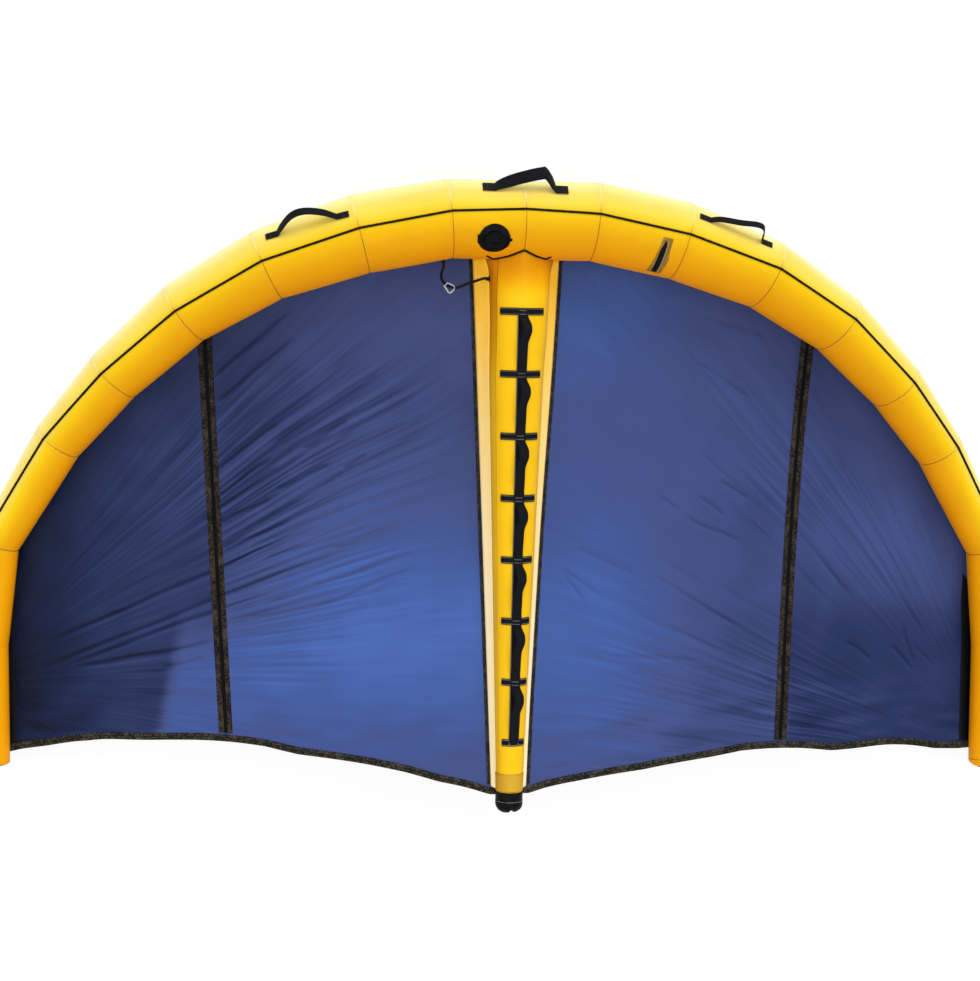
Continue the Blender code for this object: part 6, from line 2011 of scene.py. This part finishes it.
@dataclass
class Inflation:
    """The valve, the hose between the bladders with its pinch clamp, and the bladder zip."""

    finishes: Finishes
    form: TubeForm = TubeForm()
    hose_radius: float = 4.5 * MM
    fitting_length: float = 12.3 * MM
    hose_straight: float = 9 * MM
    hose_route: tuple = (
        (-259, -185, -11), (-249, -206, -22), (-230, -219, -30), (-205, -223, -34), (-168, -209, -32))
    hose_station: float = 1.11
    zip_station: float = 1.75
    facing_turns: tuple = (-67, -2)
    chain_turns: tuple = (-63, -7)
    sewn_turns: tuple = (-63, -5)
    zip_half: float = 23.5 * MM
    chain_half: float = 9 * MM
    sewn_half: float = 11.5 * MM

    def build(self) -> None:
        """Build and dress every piece."""
        self.valve()
        self.hose()
        self.zip()

    def dress(self, node: str, material: bpy.types.Material) -> None:
        """Give a CAD node whose shape is right its finish."""
        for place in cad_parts[node].material_slots:
            place.material = material
        LOG.info("dressed %s", node)

    def valve(self) -> None:
        """The moulded valve parts keep their shapes and get their finishes."""
        for node in ("valve_base", "valve_plunger", "valve_tether", "hose_fitting_tube", "hose_fitting_strut"):
            self.dress(node, self.finishes.black_plastic)
        for node in ("valve_cap", "valve_finger_tab", "zip_slider"):
            self.dress(node, self.finishes.grey_plastic)
        self.dress("hose_clip", self.finishes.pale_plastic)
        self.dress("valve_spring", self.finishes.steel)

    def end_point(self, where: str, height: float) -> Vector:
        """A point on a hose fitting's axis, at a height over its seat."""
        if where == "tube":
            level, seat, found = (
                self.form.local(Side.LEFT, self.hose_station, -90, lift) for lift in (0, -1.1 * MM, height))
            return seat + (found - level)
        strut = StrutForm()
        seat = strut.point(192 * MM, -90, -0.9 * MM) - STAND
        return seat + Vector((-1.0, 0.0328, 0)).normalized() * height

    def hose(self) -> None:
        """The hose, from the fitting on the tube to the one on the strut."""
        centres = [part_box(node) for node in ("hose_fitting_tube", "hose_fitting_strut")]
        LOG.info("hose fittings at %s", [[round(value, 4) for value in (low + high) / 2] for low, high in centres])
        start, bend = self.fitting_length, self.fitting_length + self.hose_straight
        route = [self.end_point("tube", start), self.end_point("tube", bend)]
        route += [Vector(point) * MM for point in self.hose_route]
        route += [self.end_point("strut", bend), self.end_point("strut", start)]
        line = [point + STAND for point in smooth_path(route, 9)]
        weaver = Weaver()
        weaver.tube(line, self.hose_radius, 20)
        piece = weaver.sew("inflation_hose_tube", self.finishes.hose, "black_plastic", ("inflation_hose",))

    @property
    def outboard(self) -> Vector:
        """The tube's direction at the zip."""
        return (self.form.point(Side.RIGHT, 2, 0) - self.form.point(Side.RIGHT, 1, 0)).normalized()

    def at_zip(self, turn: float, lift: float = 0.0) -> Vector:
        """A point over the tube in the zip's middle."""
        return self.form.point(Side.RIGHT, self.zip_station, turn, lift)

    def patch(self, half: float, turns: tuple, lift: float, thickness: float, slant: float = 0.0,
              rounded: float = 0.0) -> Weaver:
        """A strip sewn round part of the tube at the zip.

        Args:
            half: Half its width in metres.
            turns: Where it starts and ends round the tube, in degrees.
            lift: Height over the sleeve, in metres.
            thickness: Its thickness in metres.
            slant: How far its upper end is set outboard, in metres.
            rounded: How many degrees of its upper end are rounded off.

        Returns:
            The weaver that holds it.
        """
        weaver = Weaver()
        low, high = turns
        ahead = self.outboard
        places = np.linspace(low, high, 40)
        path = [self.at_zip(turn, lift) + ahead * slant * (turn - low) / (high - low) for turn in places]
        shares = [math.sqrt(1 - 0.96 * max((turn - high + rounded) / max(rounded, 1), 0.0) ** 2)
                  for turn in places]
        middle = self.at_zip(90).lerp(self.at_zip(-90), 0.5)
        across = []
        for point in path:
            out = (point - middle).normalized()
            across.append((out * ahead.dot(out) - ahead).normalized())
        weaver.strap(path, across, 2 * half, thickness, shares=shares if rounded else None)
        return weaver

    def zip(self) -> None:
        """The zip: sheer facing, coil chain with its teeth, and pale stitching round it."""
        facing = self.patch(self.zip_half, self.facing_turns, 0.7 * MM, 0.8 * MM, 14 * MM)
        facing.sew("zip_facing_cloth", self.finishes.facing, "black_trim", ("zip_facing",))
        chain = self.patch(self.chain_half, self.chain_turns, 1.6 * MM, 1.4 * MM, rounded=7)
        chain.sew("zip_tape", self.finishes.webbing, "black_webbing", ("zip_chain",))
        sewn, teeth = Weaver(), Weaver()
        normal = self.form.normal(Side.RIGHT, self.zip_station, -35)
        ahead, lift = self.outboard, 1.7 * MM
        tooth = ahead * 3 * MM
        for turn in np.linspace(*self.chain_turns, 50):
            out = self.form.normal(Side.RIGHT, self.zip_station, turn)
            place = self.at_zip(turn, 3.0 * MM)
            teeth.stitches([place - tooth, place + tooth], out, 6 * MM, 6.4 * MM, 1.5 * MM, 0.5 * MM)
        teeth.sew("zip_teeth", self.finishes.black_plastic, "black_webbing", outward=False)
        low, high = self.sewn_turns
        rows = [[self.at_zip(turn, lift) + ahead * offset for turn in np.linspace(low, high, 30)]
                for offset in (-self.sewn_half, self.sewn_half)]
        rows.append([self.at_zip(high + 1.6 * math.sin(angle), lift) + ahead * self.sewn_half * math.cos(angle)
                     for angle in np.linspace(0, math.pi, 12)])
        for line in rows:
            sewn.stitches(line, normal, 4.5 * MM, 4.0 * MM, 1.6 * MM)
        sewn.sew("zip_stitches", self.finishes.pale_thread, "black_webbing", outward=False)


@dataclass
class Studio:
    """The pale floor, the soft light and the camera at the photograph's angle."""

    width: int = 980
    focal_pixels: float = 2228.5
    sensor: float = 36.0
    place: tuple = (-0.9678, -0.0987, 7.2544)
    target: tuple = (-0.0857, -0.8865, 0.0)
    roll: float = 0.02024
    key_energy: float = 1.25
    overhead_energy: float = 0.95
    sky: float = 0.6
    floor_glow: float = 1.06
    floor_share: float = 0.82

    def build(self) -> None:
        """Set the stage."""
        self.camera()
        self.floor()
        self.lights()
        bpy.context.scene.view_settings.view_transform = "Standard"

    def camera(self) -> None:
        """The camera, fitted to the photograph's outline."""
        place, target = Vector(self.place) + STAND, Vector(self.target) + STAND
        ahead = (target - place).normalized()
        right = ahead.cross(Vector((0, 1, 0))).normalized()
        up = right.cross(ahead)
        cosine, sine = math.cos(self.roll), math.sin(self.roll)
        turned_right, turned_up = right * cosine + up * sine, up * cosine - right * sine
        eye = bpy.data.cameras.new("photograph_angle")
        eye.sensor_width, eye.sensor_fit = self.sensor, "HORIZONTAL"
        eye.lens = self.focal_pixels / self.width * self.sensor
        eye.clip_end = 100
        seen = bpy.data.objects.new("photograph_angle", eye)
        bpy.context.scene.collection.objects.link(seen)
        turned = Matrix((turned_right, turned_up, -ahead)).transposed().to_4x4()
        seen.matrix_world = Matrix.Translation(place) @ turned
        bpy.context.scene.camera = seen

    def floor(self) -> None:
        """A wide white floor that keeps the wing's shadow faint."""
        bpy.ops.object.select_all(action="DESELECT")
        bpy.ops.mesh.primitive_plane_add(size=60, location=(0, 0, -1 * MM))
        ground = bpy.context.active_object
        ground.name = "studio_floor"
        made = blank("painted_studio_floor")
        place = add(made, "TexCoord").outputs["Object"]
        mottle = add(made, "TexNoise", {"Vector": place, "Scale": 0.8, "Detail": 2.0}).outputs["Fac"]
        colour = add(made, "ValToRGB", {"Fac": mottle}, stops=[(0.3, "#EDEDED"), (0.7, "#F1F1F1")]).outputs[0]
        paint = add(made, "BsdfDiffuse", {"Color": colour}).outputs[0]
        glow = add(made, "Emission", {"Color": (1, 1, 1, 1), "Strength": self.floor_glow}).outputs[0]
        path = add(made, "LightPath")
        seen = add(made, "Math", {0: path.outputs["Is Camera Ray"], 1: path.outputs["Is Glossy Ray"]},
                   operation="MAXIMUM").outputs[0]
        seen = add(made, "Math", {0: seen, 1: path.outputs["Is Transmission Ray"]}, operation="MAXIMUM").outputs[0]
        share = add(made, "Math", {0: seen, 1: self.floor_share}, operation="MULTIPLY").outputs[0]
        mixed = add(made, "MixShader", {0: share, 1: paint, 2: glow}).outputs[0]
        add(made, "OutputMaterial", {"Surface": mixed})
        ground.data.materials.append(made)

    def lights(self) -> None:
        """One broad soft key from the front, a weaker one from overhead, and an even sky."""
        for name, direction, energy, spread in (
                ("key", (-0.25, -0.80, -0.75), self.key_energy, 30),
                ("overhead", (0.1, 0.2, -1.0), self.overhead_energy, 70)):
            lamp = bpy.data.lights.new(name, "SUN")
            lamp.energy, lamp.angle = energy, math.radians(spread)
            hung = bpy.data.objects.new(name, lamp)
            hung.rotation_euler = Vector(direction).to_track_quat("-Z", "Y").to_euler()
            bpy.context.scene.collection.objects.link(hung)
        world = bpy.data.worlds.new("even_sky")
        bpy.context.scene.world = world
        world.use_nodes = True
        world.node_tree.nodes.clear()
        path = add(world, "LightPath")
        seen = add(world, "Math", {0: path.outputs["Is Camera Ray"], 1: path.outputs["Is Transmission Ray"]},
                   operation="MAXIMUM").outputs[0]
        strength = add(world, "Math", {0: seen, 1: 1.0 - self.sky, 2: self.sky},
                       operation="MULTIPLY_ADD").outputs[0]
        sky = add(world, "Background", {"Color": (1, 1, 1, 1), "Strength": strength}).outputs[0]
        add(world, "OutputWorld", {"Surface": sky})


def main() -> None:
    """Build the stage and every sub-assembly in order, and report each."""
    logging.basicConfig(level=logging.INFO, format="%(message)s")
    Studio().build()
    finishes = Finishes()
    for assembly in (Inflation, LeadingEdge, Strut, Canopy, HandleLadder, TubeGrips):
        assembly(finishes).build()
        LOG.info("%s done", assembly.__name__)


if __name__ == "__main__":
    main()
